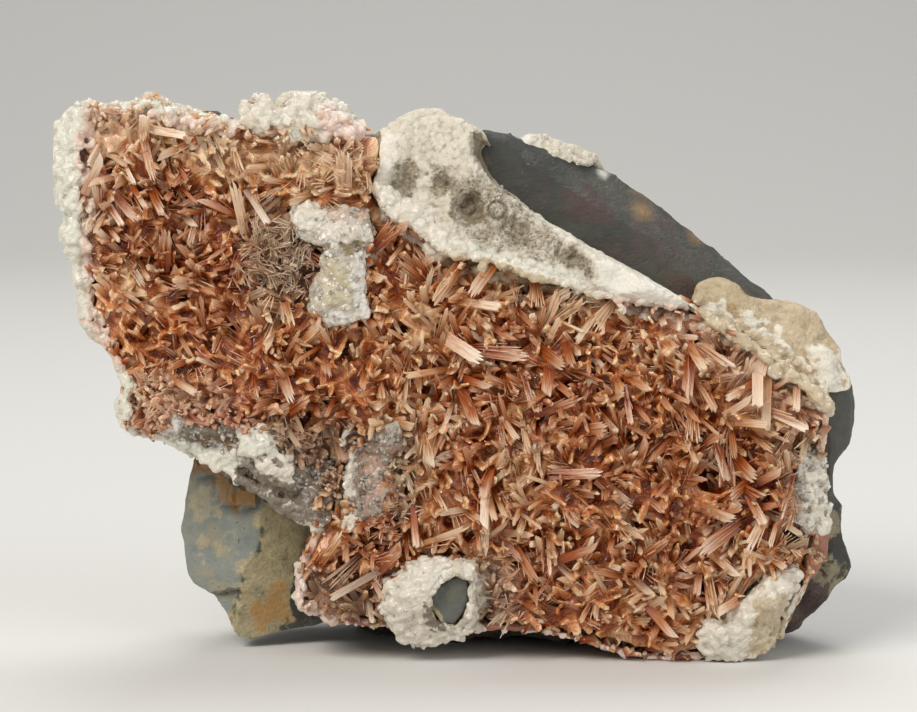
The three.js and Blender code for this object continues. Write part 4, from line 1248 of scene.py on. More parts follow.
# blade colour zones; the pale zones are cream blades, partly their own colour and partly painted highlight,
# and they strengthen the painted silky streaks
bladeColours = dict(
    pale=[[(-45.1, 30), (-36.2, 30), (-38.5, 23.4), (-40.7, 12), (-44.1, 12)],
          [(-35.1, 29.1), (-8.9, 28), (-8.9, 22.3), (-23.7, 20.6), (-33.9, 25.7)],
          [(20.6, 6.4), (27.4, 6.4), (43.4, -6.1), (43.4, -9.5), (34.3, -5), (22.9, 1.8)],
          [(26.3, -20.9), (38.8, -18.6), (38.8, -24.3), (27.4, -30)]],
    lilac=[[(-45.3, 30.2), (-37.3, 30.2), (-40.3, 18.9), (-41.6, 8.6), (-44.1, 8.6)],
           [(-37.3, 30.2), (-24.8, 28.6), (-8.9, 27.4), (-9.8, 23.4), (-23.7, 25.7), (-36.2, 28.4)],
           [(20.6, 6.9), (27.4, 6.4), (42.2, -5), (42.2, -13), (36.5, -7.3), (25.2, 2.4)],
           [(-38.5, -2.7), (-24.8, -3.9), (-24.8, -8.4), (-37.9, -9.5)],
           [(1.3, -24.3), (7, -24.3), (7, -32.3), (1.3, -32.3)]],
    ashen=[[(-24.4, 15.9), (-19.1, 16.8), (-15.5, 14.5), (-15.5, 7.5), (-18, 5.7), (-24.1, 7.3)],
           [(-8.9, -7.3), (-4.4, -9.5), (-4.4, -18.6), (-7.8, -19.8)],
           [(37.7, -9.5), (42.9, -9.5), (42.9, -23.2), (37.7, -22)],
           [(-22.3, -7.3), (-12.3, -8.4), (-12.3, -16.4), (-22.3, -13)],
           [(0.2, -23.2), (5.9, -23.2), (5.9, -32.3), (0.2, -32.3)],
           [(-18.5, -23.2), (-11.2, -24.9), (-8.4, -27.7), (-8.4, -32.3), (-18, -32.3)]],
    deep=[[(14.9, 3), (25.2, 4.1), (25.2, -16.4), (16.1, -16.4)],
          [(-39.6, 10.9), (-24.8, 10.9), (-23.7, -2.7), (-39.6, -0.5)]],
)
# right, up, radius and how much paler (or, below 0, deeper) the blades are there: painted light on the paler
# spots, painted shade on the deeper ones in the gaps between the sprays
paintedBladeLights = [
    (-40.2, 26.2, 4.4, 0.51), (-35.1, 28.2, 4.4, 0.42), (-29.4, 25.7, 5.0, 0.34), (-24.8, 21.7, 3.8, 0.42),
    (-12.9, 20.6, 4.4, 0.51), (-18, 24, 5.0, 0.59), (-41.6, 16, 3.1, 0.42), (-39.6, 9.2, 3.1, 0.34),
    (-36.8, 6.4, 3.1, 0.34), (-4.4, 2.4, 4.4, 0.34), (1.3, 0.7, 3.1, 0.51), (9.8, 5, 3.8, 0.34),
    (16.6, 5, 3.8, 0.26), (26.3, 1.2, 4.4, 0.51), (32.6, -1.8, 4.4, 0.51), (35.6, -5.6, 3.8, 0.51),
    (38.2, -10.7, 3.8, 0.51), (3.6, 6.4, 3.1, 0.26), (-1, -7.3, 3.8, 0.34), (7, -5, 3.1, 0.34),
    (5.9, -13, 3.8, 0.34), (11.5, -9.5, 2.5, 0.26), (-4.4, -14.1, 2.5, 0.26), (20.6, 1.2, 3.1, 0.26),
    (21.8, -27.7, 3.8, 0.42), (18.4, -32.3, 2.5, 0.34), (-14, -28.3, 6.0, -0.45), (-37.3, 24.5, 6.0, 0.32),
    (-28.2, 23.4, 6.0, 0.33), (-18, 22.3, 6.0, 0.33), (-3.2, -5, 3.1, 0.26), (20.6, -19.8, 3.1, 0.26),
    (14.4, -25.5, 3.1, 0.17), (32.6, -23.7, 3.8, 0.34), (-31.6, -5, 3.8, 0.26), (-35.6, -5, 3.8, 0.51),
    (-35.1, 22.8, 2.2, -0.36), (-39.4, 21.6, 1.9, -0.24), (-26, 3, 3.8, -0.3), (-29.4, 6.4, 2.5, -0.3),
    (-32.8, 13.2, 2.2, -0.3), (-28.2, 12, 2.2, -0.24), (14.9, -2.7, 5.0, -0.36), (18.4, -9.5, 3.8, -0.36),
    (22.9, -11.8, 3.1, -0.36), (28.9, -15.2, 2.8, -0.36), (16.1, -23.2, 2.5, -0.3),
    (20.6, -24.3, 2.2, -0.24), (9.3, -16.4, 2.2, -0.18), (-23.7, -5, 2.5, -0.24), (-16.9, -8.4, 3.8, -0.3),
    (-12.3, -3.9, 2.5, -0.24), (27.4, -26.6, 2.5, -0.24), (11.5, -27.7, 2.5, -0.18),
    (1.3, -21.5, 2.5, -0.18), (16.1, -16.4, 3.1, -0.24),
]
bladeSettings = dict(
    seed=11,
    spacing=2.7,  # mm between the middles of two sprays
    perSpray=(3, 6),
    rootSpread=1.0,
    sunk=0.8,
    length=(3.2, 7.6),
    width=(0.5, 1.1),
    thickness=(0.7, 1.3),
    reach=3.6,  # mm that a tip may stand out from the bed
    overhang=0.8,  # mm of a tip that may lie over the rim or a lump
    front=-1.1,  # depth in the drawing that no tip passes
    choice=dict(square=0.2, stepped=0.18, chisel=0.16, slim=0.2, broad=0.06, frayed=0.08, split=0.06,
                pair=0.06),
    shades=(0.7, 7.0),  # how strongly, and over how many mm, the tone drifts from place to place
    rowStep=0.866,  # share of the spacing between two rows, for even triangles
    fans=0.6,  # share of sprays that are flat fans, the rest being rosettes
    fanSpread=(0.1, 1.4),  # radians between a blade and its spray's axis
    rosetteSpread=(0.4, 1.4),
    fanTwist=0.3,
    forward=0.14,  # least share of a blade's length that comes towards the front
    twist=0.5,
    grown=(0.7, 1.15),  # share of the full length, so that some sprays stand lower
    flash=0.1,  # share of blades given a painted highlight, as if they catch the light, and how pale these are
    flashPale=(0.3, 0.8),
)
druse = dict(left=-43.5, right=43.5, bottom=1, top=64.5)  # where blades are tried, in the drawing's mm
fullTurn = 6.283
offFloor = 0.3 * mm
inFront = -0.1  # metres: rays towards the bed start here
frontmost = bladeSettings["front"] * mm + drawnY


def standing(root, direction, twist, size):
    # matrix that stands a model at its root along a direction, its flat side turned to the front and twisted
    across = direction.cross(Vector((0, -1, 0)))
    if across.length < 0.05:
        across = Vector((1, 0, 0))
    across = Quaternion(direction, twist) @ across.normalized()
    through = direction.cross(across)
    turned = Matrix((across * size[0] * mm, through * size[1] * mm, direction * size[2] * mm)).transposed()
    return np.array(Matrix.Translation(root) @ turned.to_4x4())


def bedAt(x, z):
    return bedTree.ray_cast(Vector((x * mm + drawnX, inFront, z * mm)), Vector((0, 1, 0)))[:2]


def onBed(tip):
    return bedTree.ray_cast(Vector((tip.x, inFront, tip.z)), Vector((0, 1, 0)))[0] is not None


# painted light and shade: the sum of the spots at each place
def paintedLightsAt(places):
    return sum(value * spots(places, [(u, v, radius)]) for u, v, radius, value in paintedBladeLights)


zoneShares = dict(own=0.6, lowered=0.15, deep=0.1, pale=0.45, edge=3.0)  # weights in a blade's tone


def coloured(copies):
    # each blade takes its colour from where its tip lies
    tips = np.array([copy["tip"] for copy in copies])
    places = seen((tips - (drawnX, drawnY, 0)) / mm)
    shares = zoneShares
    weights = {name: zone(places, outlines, shares["edge"]) for name, outlines in bladeColours.items()}
    lights = paintedLightsAt(places)
    strength, reach = bladeSettings["shades"]
    for i, copy in enumerate(copies):
        copy["pale"] = copy.get("pale", 0.0) + shares["pale"] * weights["pale"][i]
        copy["lilac"] = weights["lilac"][i] * random.uniform(0.5, 1)
        copy["ashen"] = weights["ashen"][i] * random.uniform(0.6, 1)
        drift = strength * noise.noise(Vector((*places[i], 3.0)) / reach)
        darker = shares["deep"] * weights["deep"][i]
        # the painted light and shade spots join the blade's tone here
        copy["tone"] = shares["own"] * copy["tone"] - shares["lowered"] - darker + lights[i] + drift
        copy["side"] = places[i, 0]
    return copies


def inPocket(x, z):
    place = seen(np.array([[x, faceDepth(x, z), z]]))
    within = spots(place, bedSettings["pockets"])[0] > bedSettings["pocketCore"]
    return within and random.random() < bedSettings["bareShare"]


def backed(tip):
    # whether something of the specimen lies behind a tip on the front view
    sight = (tip - view.location).normalized()
    return any(tree.ray_cast(view.location, sight)[0] is not None for tree in (bedTree, calciteTree))


def forward(direction, least):
    # a direction turned until it points forward by at least so much
    direction.y = min(direction.y, -least)
    return direction.normalized()


def bladeSprays():
    settings = bladeSettings
    names, chances = zip(*settings["choice"].items())
    copies = []
    z = druse["bottom"]
    row = 0
    while z < druse["top"]:
        x = druse["left"] + (row % 2) * settings["spacing"] / 2
        while x < druse["right"]:
            middle = (x + random.uniform(-1, 1), z + random.uniform(-1, 1))
            x += settings["spacing"]
            hit, normal = bedAt(*middle)
            if hit is None or inPocket(*middle):
                continue
            axis = (normal + Vector((random.uniform(-0.8, 0.8), -0.5,
                                     random.uniform(-0.8, 0.6)))).normalized()
            across = axis.orthogonal().normalized()
            across.rotate(Quaternion(axis, random.uniform(0, fullTurn)))
            flat = random.random() < settings["fans"]
            grown = random.uniform(*settings["grown"])
            for _ in range(random.randint(*settings["perSpray"])):
                if flat:
                    spread = random.choice((-1, 1)) * random.uniform(*settings["fanSpread"])
                    turn = random.uniform(-settings["fanTwist"], settings["fanTwist"])
                else:
                    spread = random.uniform(*settings["rosetteSpread"])
                    turn = random.uniform(0, fullTurn)
                side = across.copy()
                side.rotate(Quaternion(axis, turn))
                direction = forward(axis * math.cos(spread) + side * math.sin(spread), settings["forward"])
                root = hit + Vector((random.uniform(-1, 1), 0,
                                     random.uniform(-1, 1))) * settings["rootSpread"] * mm
                root.y += settings["sunk"] * mm
                length = random.uniform(*settings["length"]) * grown
                length = min(length, (settings["reach"] * grown + settings["sunk"]) / -direction.y)
                tip = root + direction * length * mm
                inner = root + direction * max(0.5, length - settings["overhang"]) * mm
                if tip.z < offFloor or tip.y < frontmost or not onBed(inner):
                    continue
                if not cadBox[0].x <= tip.x <= cadBox[1].x or not backed(tip):
                    continue
                size = (random.uniform(*settings["width"]), random.uniform(*settings["thickness"]),
                        length / modelLength)
                # painted highlight: a few blades are made pale as if they catch the light
                flash = random.random() < settings["flash"]
                copies.append(dict(model=blades[random.choices(names, chances)[0]], tone=random.random(),
                                   tip=tip,
                              pale=random.uniform(*settings["flashPale"]) if flash else 0.0,
                              matrix=standing(root, direction, random.gauss(0, settings["twist"]), size)))
        z += settings["spacing"] * settings["rowStep"]
        row += 1
    return copies


# large blades that stand out of the rest: root and tip on the front view, width in mm, model and how pale,
# the paleness partly the blade's colour and partly a painted highlight where it catches the light
greatBlades = [
    (-30.3, 24.3, -34.4, 22.5, 0.95, "chisel", 0.75), (-35.3, 25.9, -31, 25, 0.9, "square", 0.45),
    (-35.7, 25.2, -35.7, 27.3, 1.2, "square", 0.9), (-25.1, 15.9, -29.8, 18, 0.8, "chisel", 0.5),
    (-24.4, 14.5, -25.6, 20.1, 1.2, "split", 0.45), (-23.8, 18.5, -21.6, 15, 0.85, "square", 0.55),
    (-39.9, 17.4, -38.2, 14.8, 0.75, "square", 0.7), (-39.1, 18.3, -36.5, 15.2, 1.0, "broad", 0.6),
    (-33.2, 15.9, -42.1, 12.5, 0.95, "chisel", 0.3), (-37.8, 21.5, -36.8, 19.5, 0.5, "square", 0.6),
    (-36, 25.5, -34.6, 19.7, 1.0, "broad", 0.15), (-37.1, 19.3, -35.5, 16.8, 0.65, "square", 0.6),
    (-34.9, 18.4, -33.7, 16.1, 0.75, "square", 0.6), (-33.5, 10, -33.2, 14.5, 1.5, "broad", 0.4),
    (-37.6, 11.8, -35.9, 14.2, 0.9, "pair", 0.4), (-29.6, 16.4, -30.7, 12.3, 0.8, "split", 0.4),
    (-42.3, 18.9, -40.3, 23, 1.0, "chisel", 0.7), (-41, 17.3, -41.4, 19.8, 0.8, "split", 0.6),
    (-0.7, 1.6, 2.8, -0.7, 1.6, "broad", 1.0), (2.2, 0.7, 8.1, -0.2, 1.5, "broad", 0.6),
    (9.6, 0.5, 12.1, -1.4, 1.4, "broad", 0.55), (10.2, -2, 9.9, -4.5, 1.3, "chisel", 0.65),
    (15.6, 4.7, 13.4, 1.7, 0.7, "square", 0.75), (17.3, 5.8, 15.2, 3.2, 1.7, "sheaf", 0.6),
    (11.5, 4, 14.3, 2.7, 0.3, "square", 0.9), (12.2, 1.1, 13, -1.4, 1.0, "split", 0.3),
    (1, 5.2, 3.6, 3.1, 0.65, "square", 0.45), (1.3, 5.5, 4.5, 5.9, 0.65, "square", 0.5),
    (8.7, -6.7, 14.4, -4.7, 1.0, "split", 0.35), (0.5, -4.3, 1.9, -8, 1.3, "chisel", 0.55),
    (5.3, -7.6, 6.8, -9.7, 0.8, "frayed", 0.8), (11, -13.5, 16.5, -13.3, 1.2, "broad", 0.85),
    (7.2, -1.5, 8.6, -6.5, 0.75, "split", 0.3), (0.9, -2.6, 3.8, -3.7, 0.85, "chisel", 0.65),
    (13.8, -8.5, 17, -8.1, 1.4, "broad", 0.35), (18.9, -3.9, 19.6, -7.8, 0.7, "square", 0.35),
    (13.6, -8.9, 13.8, -10.8, 0.5, "needles", 0.9), (-4, -9.8, -3.2, -12.3, 0.7, "chisel", 0.7),
    (4.7, -8.4, 5.2, -11.8, 0.5, "needles", 0.5), (19.4, -2.5, 21.8, -4.1, 0.9, "chisel", 0.3),
    (5.5, -2.5, 6.5, -4.4, 0.8, "pair", 0.5), (26.3, -0.5, 25.9, -5, 1.4, "split", 0.55),
    (26.3, 1, 27.9, -1.6, 1.0, "square", 0.4), (28.1, 0.9, 31.3, -1.4, 0.9, "pair", 0.6),
    (34, -0.9, 34, -5.8, 1.3, "square", 0.55), (35.1, -2, 34.9, -8.5, 1.1, "square", 0.65),
    (35.5, -6.4, 39.7, -8.4, 0.9, "square", 0.6), (33.4, -3, 30.4, -4.9, 0.8, "square", 0.55),
    (30.6, -6.5, 33.5, -4.7, 0.85, "chisel", 0.45), (32, -7.5, 35.2, -7.8, 0.9, "square", 0.3),
    (26.6, -6.6, 26.5, -9.9, 1.8, "sheaf", 0.6), (28.8, -8.8, 30.6, -14.2, 0.9, "square", 0.6),
    (31.6, -11.8, 33.8, -14.2, 1.6, "broad", 0.65), (39.6, -8.4, 41.4, -9.3, 0.5, "needles", 0.7),
    (40.6, -9.4, 39.1, -12.6, 0.8, "chisel", 0.5), (28.4, -4.2, 29.1, -6.2, 0.9, "split", 0.55),
    (38.4, -3.6, 38.4, -6.2, 0.85, "square", 0.45), (32.4, -14.8, 34.8, -16.1, 0.8, "pair", 0.45),
    (32.6, -14.5, 30.9, -16.2, 1.1, "broad", 0.5), (33.1, -16.2, 34.7, -19.2, 1.1, "square", 0.45),
    (34.6, -18.6, 32.7, -22.2, 1.1, "split", 0.65), (38, -13.9, 36.6, -18.4, 0.55, "pair", 0.85),
    (36, -19.5, 35.3, -21.9, 0.6, "split", 0.7), (27.7, -17.3, 31.5, -18.8, 1.2, "frayed", 0.8),
    (31.2, -19.5, 27.2, -22.5, 1.6, "broad", 0.25), (29, -22.6, 31.9, -25.3, 1.0, "chisel", 0.6),
    (31.2, -28, 29.3, -29.2, 1.1, "chisel", 0.35), (38.1, -23.2, 39.3, -25.1, 0.45, "needles", 0.8),
    (34.5, -14.1, 36.9, -13, 1.0, "chisel", 0.5), (37.2, -23.3, 40.7, -23.7, 0.7, "pair", 0.4),
    (-9.7, -24.8, -6.2, -21.5, 1.5, "chisel", 0.3), (-8.9, -24.4, -14.6, -27.6, 0.85, "square", 0.5),
    (-15.5, -23.4, -13.1, -19.9, 1.0, "split", 0.35), (-8.2, -19.4, -5.5, -23.5, 0.65, "split", 0.75),
    (-5.2, -17.5, -4.8, -21.8, 0.75, "square", 0.7), (-3.6, -9.8, -3.2, -12.6, 1.1, "chisel", 0.65),
    (3.7, -13, 2.7, -16.2, 1.0, "square", 0.55), (3.1, -15.8, 2.9, -19.8, 1.1, "chisel", 0.5),
    (2.8, -20.1, 1.8, -24.3, 0.85, "split", 0.7), (1.4, -5.9, 2, -8, 1.1, "chisel", 0.85),
    (-2.6, -15.3, -1.4, -17.7, 0.6, "pair", 0.6), (3.8, -28.4, 4.7, -25.9, 0.9, "pair", 0.6),
    (-6.1, -13.1, -5.2, -15.9, 0.55, "split", 0.7), (-29, -2.7, -27.1, -4.1, 0.9, "pair", 0.9),
    (-32.4, -2.6, -29.9, -4.2, 0.75, "square", 0.7), (-28.4, -5.8, -31.5, -7.7, 0.65, "square", 0.55),
    (-23.2, -2.8, -22.9, -4.8, 0.55, "pair", 0.95), (-19.1, -6.2, -16.9, -4.7, 1.2, "broad", 0.5),
    (-20.6, -8.4, -18.8, -10.8, 1.3, "chisel", 0.3), (-17.2, -5, -14.7, -4.9, 0.4, "needles", 0.9),
    (-10.1, 11.7, -6.8, 15.2, 1.9, "sheaf", 0.25), (-9.8, 9.3, -8.5, 8.5, 1.0, "frayed", 0.9),
    (-23.9, 6.6, -21.8, 7.5, 1.0, "broad", 0.5), (-19.4, 5.7, -18.8, 3.4, 0.6, "pair", 0.65),
    (-22, 5.6, -21.4, 3.6, 0.75, "chisel", 0.5), (-17.3, 23.9, -9.9, 25, 1.4, "broad", 0.45),
    (-9.5, 22.3, -9.3, 26.5, 1.5, "sheaf", 0.25), (-13, 19.2, -13, 23.4, 1.9, "broad", 0.2),
    (-17, 19.1, -15.4, 22.6, 0.8, "needles", 0.95), (-11, 19.5, -8.7, 21.4, 1.7, "sheaf", 0.7),
    (-25.3, 23.2, -24.6, 21, 0.6, "pair", 0.6), (-8.2, 13.6, -5.5, 15.1, 1.1, "chisel", 0.4),
    (0.4, 10.7, -2.9, 5.9, 1.5, "broad", 0.25), (4, 10.6, 1.2, 6.7, 1.4, "broad", 0.3),
    (6.3, 9.7, 6.8, 6.1, 0.4, "needles", 0.7), (10.3, 6, 13, 7.6, 1.3, "frayed", 0.8),
    (11.2, 4.2, 14.6, 7, 1.8, "sheaf", 0.3), (0.5, 6.1, 4.8, 5.5, 1.0, "square", 0.4),
    (8.7, 8.9, 8.9, 5.3, 1.8, "sheaf", 0.25), (16.1, -14.3, 19.7, -17.3, 1.3, "broad", 0.7),
    (-18, 1.2, -15.5, 3.9, 1.0, "chisel", 0.4), (-4.4, -21.5, 1.3, -19.5, 0.8, "split", 0.45),
    (11.5, -23.2, 16.1, -21.5, 1.0, "chisel", 0.4), (20.6, -23.2, 23.8, -20.9, 1.1, "broad", 0.35),
    (16.1, -30, 11.5, -32.3, 0.9, "pair", 0.4), (21.8, -28.9, 24.7, -32.3, 1.0, "chisel", 0.4),
    (9.3, -27.7, 7, -30.6, 0.8, "split", 0.4),
]
greatSettings = dict(
    sunk=0.6,
    rise=3.6,  # mm from the bed to a tip, times the unevenness; the tip stands lift mm higher than the root
    lift=1.9,
    uneven=(0.85, 1.15),
    front=-1.2,
    thickness=(0.9, 1.4),
    tone=(0.3, 0.8),
    pale=0.75,
    twist=0.25,
)


def standOut():
    settings = greatSettings
    copies = []
    for rootU, rootV, tipU, tipV, width, model, pale in greatBlades:
        start = sighted(bedTree, rootU, rootV)
        if start is None:  # a root past the edge moves a fifth of the way to its tip
            start = sighted(bedTree, 0.8 * rootU + 0.2 * tipU, 0.8 * rootV + 0.2 * tipV)
        behind = sighted(bedTree, tipU, tipV) or start
        towards = (view.location - behind).normalized()
        rise = settings["rise"] * random.uniform(*settings["uneven"])
        end = behind + towards * rise * mm
        foremost = settings["front"] * mm + drawnY
        if end.y < foremost:
            end = end - towards * (foremost - end.y)
        start = start + (view.location - start).normalized() * (rise - settings["lift"]) * mm
        direction = (end - start).normalized()
        start = start - direction * settings["sunk"] * mm
        length = (end - start).length / mm
        size = (width / modelWidths[model], random.uniform(*settings["thickness"]), length / modelLength)
        copies.append(dict(model=blades[model], tone=random.uniform(*settings["tone"]),
                      pale=settings["pale"] * pale, tip=end,
                      matrix=standing(start, direction, random.gauss(0, settings["twist"]), size)))
    return copies


fibreSettings = dict(perBlade=(0, 1, 1, 2), beside=0.45, lean=0.1, share=(0.65, 1.0), width=0.75)


def fineFibres(copies):
    # hair-thin fibres beside the blades, almost parallel to them
    settings = fibreSettings
    made = []
    for copy in copies:
        start, along = Vector(copy["matrix"][:3, 3]), Vector(copy["matrix"][:3, 2])
        for _ in range(random.choice(settings["perBlade"])):
            root = start + threeDraws(random.uniform, -settings["beside"], settings["beside"]) * mm
            direction = (along.normalized() + threeDraws(random.gauss, 0, settings["lean"])).normalized()
            length = modelLength * along.length * random.uniform(*settings["share"]) / mm
            tip = root + direction * length * mm
            if tip.y < frontmost or tip.z < offFloor or not backed(tip):
                continue
            size = (settings["width"], settings["width"], length / modelLength)
            made.append(dict(model=blades["needles"], tone=random.random(), pale=random.uniform(0.0, 0.8),
                             tip=tip,
                        matrix=standing(root, direction, random.uniform(0, 3), size)))
    return made


massSettings = dict(
    spacing=1.25,
    length=(2.0, 4.0),
    width=(0.8, 1.5),
    lean=1.2,
    sunk=0.8,
    held=0.6,  # share of a blade that has to lie over the bed
    forward=0.2,
    choice=("slim", "square", "square", "stepped", "chisel"),
    grain=0.27,
    kept=0.3,  # share of the faces that the thinning leaves
)


def stubble():
    # short stout blades over the whole bed
    settings = massSettings
    copies = []
    for z in np.arange(druse["bottom"], druse["top"], settings["spacing"]):
        for x in np.arange(druse["left"], druse["right"], settings["spacing"]):
            hit, normal = bedAt(x + random.uniform(-0.6, 0.6), z + random.uniform(-0.6, 0.6))
            if hit is None or inPocket(x, z):
                continue
            lean = threeDraws(lambda: random.uniform(-1, 1) * settings["lean"])
            direction = forward((normal + lean).normalized(), settings["forward"])
            length = random.uniform(*settings["length"])
            tip = hit + direction * length * mm
            if tip.z < offFloor or not onBed(hit + direction * settings["held"] * length * mm):
                continue
            root = hit - direction * settings["sunk"] * mm
            size = (random.uniform(*settings["width"]), random.uniform(*settings["width"]),
                    length / modelLength)
            copies.append(dict(model=blades[random.choice(settings["choice"])], tone=random.random(),
                               tip=tip,
                          matrix=standing(root, direction, random.uniform(0, 3), size)))
    return copies


def growTogether(bed, copies):
    # fuses bed and short blades into one mass with soft crystal edges
    grown = gathered("short", copies)
    only(bed)
    grown.select_set(True)
    bpy.ops.object.join()
    remesh(bed, massSettings["grain"])
    thin = bed.modifiers.new("thin", "DECIMATE")
    thin.ratio = massSettings["kept"]
    applyAll(bed)
    keepInside(bed)
    bed.data.shade_flat()
    markHollows(bed, 10, 0.9)
    places = seen(drawn(bed))
    # the mass's tone is the painted light and shade spots
    store(bed, "tone", paintedLightsAt(places))
    for name in ("lilac", "ashen"):
        store(bed, name, zone(places, bladeColours[name], zoneShares["edge"]))
    return finishPiece(bed, massMaterial(), "inesite", "inesite_druse")


hazeSettings = dict(count=440, length=(1.0, 2.6), rise=(1.8, 3.4), width=0.8,
                    kinds=("hair", "hair", "needles"))
# right, up, width, height and share of the needles
hazePlaces = [(-35.1, -1.8, 6.0, 1.2, 0.06), (-33.9, -6.1, 5.0, 1.5, 0.05), (-19.1, -9.5, 5.0, 1.5, 0.05),
              (-20.1, 11.1, 5.0, 4.0, 0.4), (-8.4, -15.2, 3.0, 5.0, 0.2), (-14, 20.6, 4.0, 3.0, 0.08),
              (3.4, -27.5, 3.5, 5.0, 0.16), (38.8, -16.4, 3.0, 7.0, 0.16)]


def haze():
    # fine hair-like needles tangled over the blades beside the quartz
    settings = hazeSettings
    copies = []
    for u, v, width, height, share in hazePlaces:
        for _ in range(int(settings["count"] * share)):
            hit = sighted(bedTree, u + random.gauss(0, width / 2), v + random.gauss(0, height / 2))
            if hit is None:
                continue
            direction = Vector((random.gauss(0, 1), random.uniform(-0.9, 0.1),
                                random.gauss(0, 1))).normalized()
            length = random.uniform(*settings["length"])
            root = hit + (view.location - hit).normalized() * random.uniform(*settings["rise"]) * mm
            tip = root + direction * length * mm
            if tip.z < offFloor or tip.y < frontmost:
                continue
            size = (settings["width"], settings["width"], length / modelLength)
            copies.append(dict(model=blades[random.choice(settings["kinds"])], tip=tip,
                          tone=random.uniform(0.3, 1.4), pale=random.uniform(0.2, 1.0),
                          matrix=standing(root, direction, random.uniform(0, 3), size)))
    return copies


fringeSettings = dict(
    count=4200,
    within=2.2,  # mm from the bed
    behind=3,  # mm that a root may lie behind the bed's surface
    clear=0.2,  # mm kept free inside the box of the solids
    # pulls on a blade beside a random lean: along the normal, away from the bed, to the front
    upright=0.5,
    outward=0.3,
    forward=0.5,
    sunk=0.4,
    length=(1.0, 2.6),
    width=(0.6, 1.3),
    choice=("split", "slim", "chisel", "square"),
    onLumps=dict(quartz_ledge=500, quartz_knob=260, quartz_plate=90, quartz_ring=160),
    bareRim=[(-47.6, 30.2), (-42.1, 30.2), (-42.6, 17.7), (-40.3, 3), (-47.6, 3)],  # left rim
)


def fringe(piece, count):
    # short blades that grow over the rim of the calcite round the bed, and over the lumps in it
    settings = fringeSettings
    middles, normals, _ = faceArrays(piece.data)
    places = seen((middles - (drawnX, drawnY, 0)) / mm)
    chances = (normals[:, 1] < 0.1) * (1 - inside(places, calciteSettings["headland"], 1))
    chances *= 1 - inside(places, settings["bareRim"], 1)
    chances *= middles[:, 2] > settings["clear"] * mm
    for i in np.nonzero(chances > 0)[0]:
        nearest, _, _, away = bedTree.find_nearest(Vector(middles[i]))
        if away > settings["within"] * mm or middles[i, 1] > nearest.y + settings["behind"] * mm:
            chances[i] = 0
    copies = []
    for i in random.choices(range(len(chances)), chances, k=count):
        root, normal = Vector(middles[i]), Vector(normals[i])
        outward = root - bedTree.find_nearest(root)[0]
        outward.y = 0
        outward = outward.normalized() if outward.length > 0 else Vector((0, 0, 0))
        lean = threeDraws(random.uniform, -1, 1)
        pull = normal * settings["upright"] + outward * settings["outward"]
        direction = (pull + lean + Vector((0, -settings["forward"], 0))).normalized()
        length = random.uniform(*settings["length"])
        tip = root + direction * length * mm
        clear = min(*(tip - cadBox[0]), *(cadBox[1] - tip))
        if clear < settings["clear"] * mm or direction.dot(normal) < -0.1 or not backed(tip):
            continue
        root = root - direction * settings["sunk"] * mm
        size = (random.uniform(*settings["width"]), 1, length / modelLength)
        copies.append(dict(model=blades[random.choice(settings["choice"])], tone=random.random(), tip=tip,
                      matrix=standing(root, direction, random.uniform(0, 3), size)))
    return copies


random.seed(bladeSettings["seed"])
calciteTree = BVHTree.FromObject(calciteLayer, bpy.context.evaluated_depsgraph_get())
bladeStone = inesiteMaterial()
sprays = coloured(bladeSprays() + standOut())
print("%d blades" % len(sprays))
for name, low, high in (("Left", -60, -16), ("Middle", -16, 14), ("Right", 14, 60)):
    plant("inesiteBlades" + name, [copy for copy in sprays if low <= copy["side"] < high], bladeStone,
          "inesite")
rimBlades = fringe(calciteLayer, fringeSettings["count"])
lumpBlades = [copy for node,
              count in fringeSettings["onLumps"].items() for copy in fringe(grownLumps[node], count)]
growTogether(bed, stubble() + rimBlades[::2])
plant("inesiteFringe", coloured(rimBlades[1::2] + lumpBlades), bladeStone, "inesite")
plant("inesiteNeedles", coloured(haze()), bladeStone, "inesite")
plant("inesiteFibres", coloured(fineFibres(sprays)), bladeStone, "inesite")

# calcite grains

topTuft = [(-24.5, 30), (-21.6, 29.8), (-20.7, 27), (-18, 30.5), (-14.6, 30), (-10.5, 25.9),
           (-11.6, 24.5), (-20.7, 24.8), (-24.5, 26.6)]
rightEdge = [(39, -11.2), (42.4, -11.2), (42.7, -16.4), (42.2, -20.2), (39.3, -19.8)]
